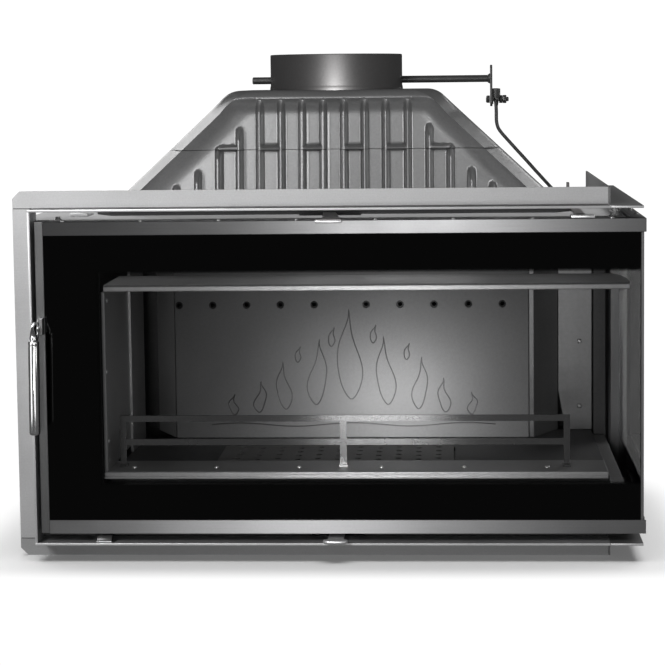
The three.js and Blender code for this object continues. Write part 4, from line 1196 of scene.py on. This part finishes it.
world = bpy.data.worlds.new("studio")
bpy.context.scene.world = world
world.use_nodes = True
nt = world.node_tree
nt.nodes.clear()
o = nt.nodes.new("ShaderNodeOutputWorld")
mx = nt.nodes.new("ShaderNodeMixShader")
lp = nt.nodes.new("ShaderNodeLightPath")
b0 = nt.nodes.new("ShaderNodeBackground")
b0.inputs["Color"].default_value = (1, 1, 1, 1)
b0.inputs["Strength"].default_value = 0.07
b1 = nt.nodes.new("ShaderNodeBackground")
b1.inputs["Color"].default_value = (1, 1, 1, 1)
b1.inputs["Strength"].default_value = 1.05
nt.links.new(lp.outputs["Is Camera Ray"], mx.inputs[0])
nt.links.new(b0.outputs[0], mx.inputs[1])
nt.links.new(b1.outputs[0], mx.inputs[2])
nt.links.new(mx.outputs[0], o.inputs[0])


def reach(ob, objs, exclude):
    col = bpy.data.collections.new(ob.name + "_reach")
    for x in objs:
        col.objects.link(x)
    ob.light_linking.receiver_collection = col
    if exclude:
        for c in col.collection_objects:
            c.light_linking.link_state = "EXCLUDE"


def softbox(name, at, target, w, h, power, skip=(), only=None, spread=180):
    light = bpy.data.lights.new(name, "AREA")
    light.shape = "RECTANGLE"
    light.size, light.size_y = w, h
    light.energy = power
    light.spread = math.radians(spread)
    ob = bpy.data.objects.new(name, light)
    ob.location = at
    ob.rotation_euler = (Vector(target) - Vector(at)).to_track_quat("-Z", "Y").to_euler()
    ob.visible_camera = False
    bpy.context.scene.collection.objects.link(ob)
    if only is not None:
        reach(ob, only, False)
    else:
        reach(ob, [floor] + list(skip), True)
    return ob


OB = bpy.data.objects
if "fireback_plate" in OB:
    # the plate is flat: its large cut faces are shaded flat
    for poly in OB["fireback_plate"].data.polygons:
        poly.use_smooth = False
panes = [NODES["front_glass"], NODES["side_glass"]]
sun = bpy.data.lights.new("overhead", "SUN")
sun.energy = 3.15
sun.angle = math.radians(62)
sun_ob = bpy.data.objects.new("overhead", sun)
sun_ob.rotation_euler = (math.radians(-4.5), 0, 0)
bpy.context.scene.collection.objects.link(sun_ob)
reach(sun_ob, [floor], False)


def named(*names):
    return [OB[n] for n in names if n in OB]


HEARTH = named("fireback_plate", "fireback_relief", "air_nozzles", "fireback_return_left", "fireback_return_right", "left_lining_front", "left_lining_rear", "right_lining", "right_inner_post",
               "sill_plate", "side_sill", "inner_lintel", "log_guard", "firebox_floor", "grate", "grate_plate", "baffle_plate", "sill_screws", "lining_screws", "floor_screws")
BACK = named("fireback_plate", "fireback_relief", "air_nozzles")
EDGES = named("sill_plate", "inner_lintel", "sill_screws", "side_sill")
GUARD = named("log_guard")
SIDES = [o for o in HEARTH if o not in BACK and o not in EDGES and o not in GUARD]
DOME = named("dome_lower_casting", "dome_upper_casting", "dome_foot_flange")
COLLAR = named("flue_collar_ring")
HANDLE = named("handle_grip_bar", "handle_arm_forged", "handle_pivot_bolt")
RAIL_T, RAIL_B = named("door_top_rail"), named("door_bottom_rail")
LOW = named("air_lever", "lever_lip", "slider_highlight_strip", "control_grip_highlight")

SHADED = [NODES["left_wall"], NODES["frame_post_left"]]
softbox("front_low", (-0.06, -3.9, 0.30), (0, 0, 0.30), 0.50, 1.1, 14, skip=panes + RAIL_T + RAIL_B + COLLAR + DOME + HEARTH + SHADED)
softbox("hearth_fill", (-0.04, -3.7, 0.22), (0.05, 0, 0.28), 0.60, 0.9, 24, only=SIDES)
softbox("pane_glow", (1.9, -1.4, 0.5), (0.49, -0.1, 0.3), 0.8, 1.2, 14, only=[NODES["side_glass"]])
softbox("hearth_near", (0.06, -0.75, 0.24), (0.06, 0, 0.26), 0.25, 0.20, 3.0, only=EDGES)
softbox("guard_near", (0.06, -0.75, 0.24), (0.06, 0, 0.26), 0.20, 0.20, 0.62, only=GUARD)
softbox("hearth_back", (0.09, -0.16, 0.145), (0.09, 1, 0.15), 0.12, 0.12, 0.95, only=BACK, spread=150)
softbox("edge_fill", (-0.04, -3.7, 0.3), (0.05, 0, 0.28), 0.60, 0.9, 14, only=named("sill_plate", "inner_lintel", "side_sill", "sill_screws"))
softbox("lintel_long", (0.05, -0.16, 0.525), (0.05, -0.16, 0), 0.95, 0.04, 0.22, only=named("inner_lintel"))
softbox("lintel_mid", (0.09, -0.16, 0.525), (0.09, -0.16, 0), 0.25, 0.04, 0.22, only=named("inner_lintel"))
softbox("front_rail_top", (0.07, -3.9, 0.40), (0, 0, 0.53), 0.45, 1.0, 14, only=RAIL_T)
softbox("front_rail_bottom", (-0.26, -3.6, 0.45), (0, 0, 0.05), 0.35, 1.0, 22, only=RAIL_B)
softbox("front_collar", (-0.02, -3.7, 0.8), (0, 0, 0.77), 0.8, 0.8, 84, only=COLLAR)
softbox("over_top", (0, -0.5, 2.6), (0, -0.2, 0.55), 1.6, 1.0, 42, only=named("top_plate", "frame_header", "damper_control"))
softbox("key_left", (-2.0, -3.2, 2.2), (0, -0.3, 0.3), 1.1, 1.1, 108, skip=panes + RAIL_T + RAIL_B + COLLAR + DOME + HEARTH + SHADED)
softbox("dome_left", (-1.0, -3.4, 1.3), (-0.1, -0.1, 0.65), 0.6, 1.2, 30, only=DOME)
softbox("dome_right", (1.35, -3.2, 1.3), (0.15, -0.1, 0.65), 0.6, 1.2, 28, only=DOME)
softbox("handle_left", (-1.03, -0.82, 0.47), (-0.457, -0.336, 0.42), 0.42, 0.9, 1.7, only=HANDLE)
softbox("handle_right", (-0.14, -1.05, 0.47), (-0.457, -0.336, 0.42), 0.34, 0.9, 1.4, only=HANDLE)
softbox("low_front", (0.0, -2.4, 0.9), (0.01, -0.33, 0.2), 0.9, 0.9, 16, only=LOW)
softbox("strip_right", (2.9, -2.2, 1.3), (0, -0.1, 0.6), 0.6, 1.6, 10, skip=panes + RAIL_T + RAIL_B + COLLAR + DOME)
softbox("back_left", (-2.4, 3.2, 2.2), (0, 0, 0.3), 1.6, 1.6, 60, skip=panes + COLLAR + DOME)
softbox("back_dome", (-2.4, 3.2, 2.2), (0, 0, 0.6), 1.6, 1.6, 24, only=DOME)
softbox("back_right", (2.6, 3.0, 1.8), (0, 0, 0.3), 1.6, 1.6, 50, skip=panes + COLLAR + DOME)
softbox("back_right_dome", (2.6, 3.0, 1.8), (0, 0, 0.3), 1.6, 1.6, 25, only=DOME)
softbox("return_bounce", (-0.335, -0.12, 0.28), (-0.31, 0.14, 0.28), 0.10, 0.25, 0.35, only=named("fireback_return_left"))

F_PX, W_PX = 1960.0, 665.0
SHIFT = (-0.05, -0.12)
px = W_PX / 2 - SHIFT[0] * W_PX
py = W_PX / 2 + SHIFT[1] * W_PX
roll = math.radians(0.372)
d = Vector((454.0 - px, 80.0 - py, F_PX)).normalized()  # world +Y in the camera's x right, y down, z forward
up = Vector((math.sin(-roll), -math.cos(-roll), 0.0))
up = (up - d * d.dot(up)).normalized()
right = d.cross(up)
cam = bpy.data.cameras.new("camera")
cam.sensor_fit = "HORIZONTAL"
cam.sensor_width = 36.0
cam.lens = 36.0 * F_PX / W_PX
cam.shift_x, cam.shift_y = SHIFT
cam.clip_end = 100.0
camera = bpy.data.objects.new("camera", cam)
bpy.context.scene.collection.objects.link(camera)
rows = [(right[i], d[i], up[i]) for i in range(3)]
cx, cy, cz = Vector(rows[0]), -Vector(rows[1]), -Vector(rows[2])
camera.matrix_world = Matrix((
    (cx[0], cy[0], cz[0], 0.204249),
    (cx[1], cy[1], cz[1], -3.335),
    (cx[2], cy[2], cz[2], 0.758925),
    (0, 0, 0, 1)))
bpy.context.scene.camera = camera
bpy.context.scene.view_settings.view_transform = "Standard"
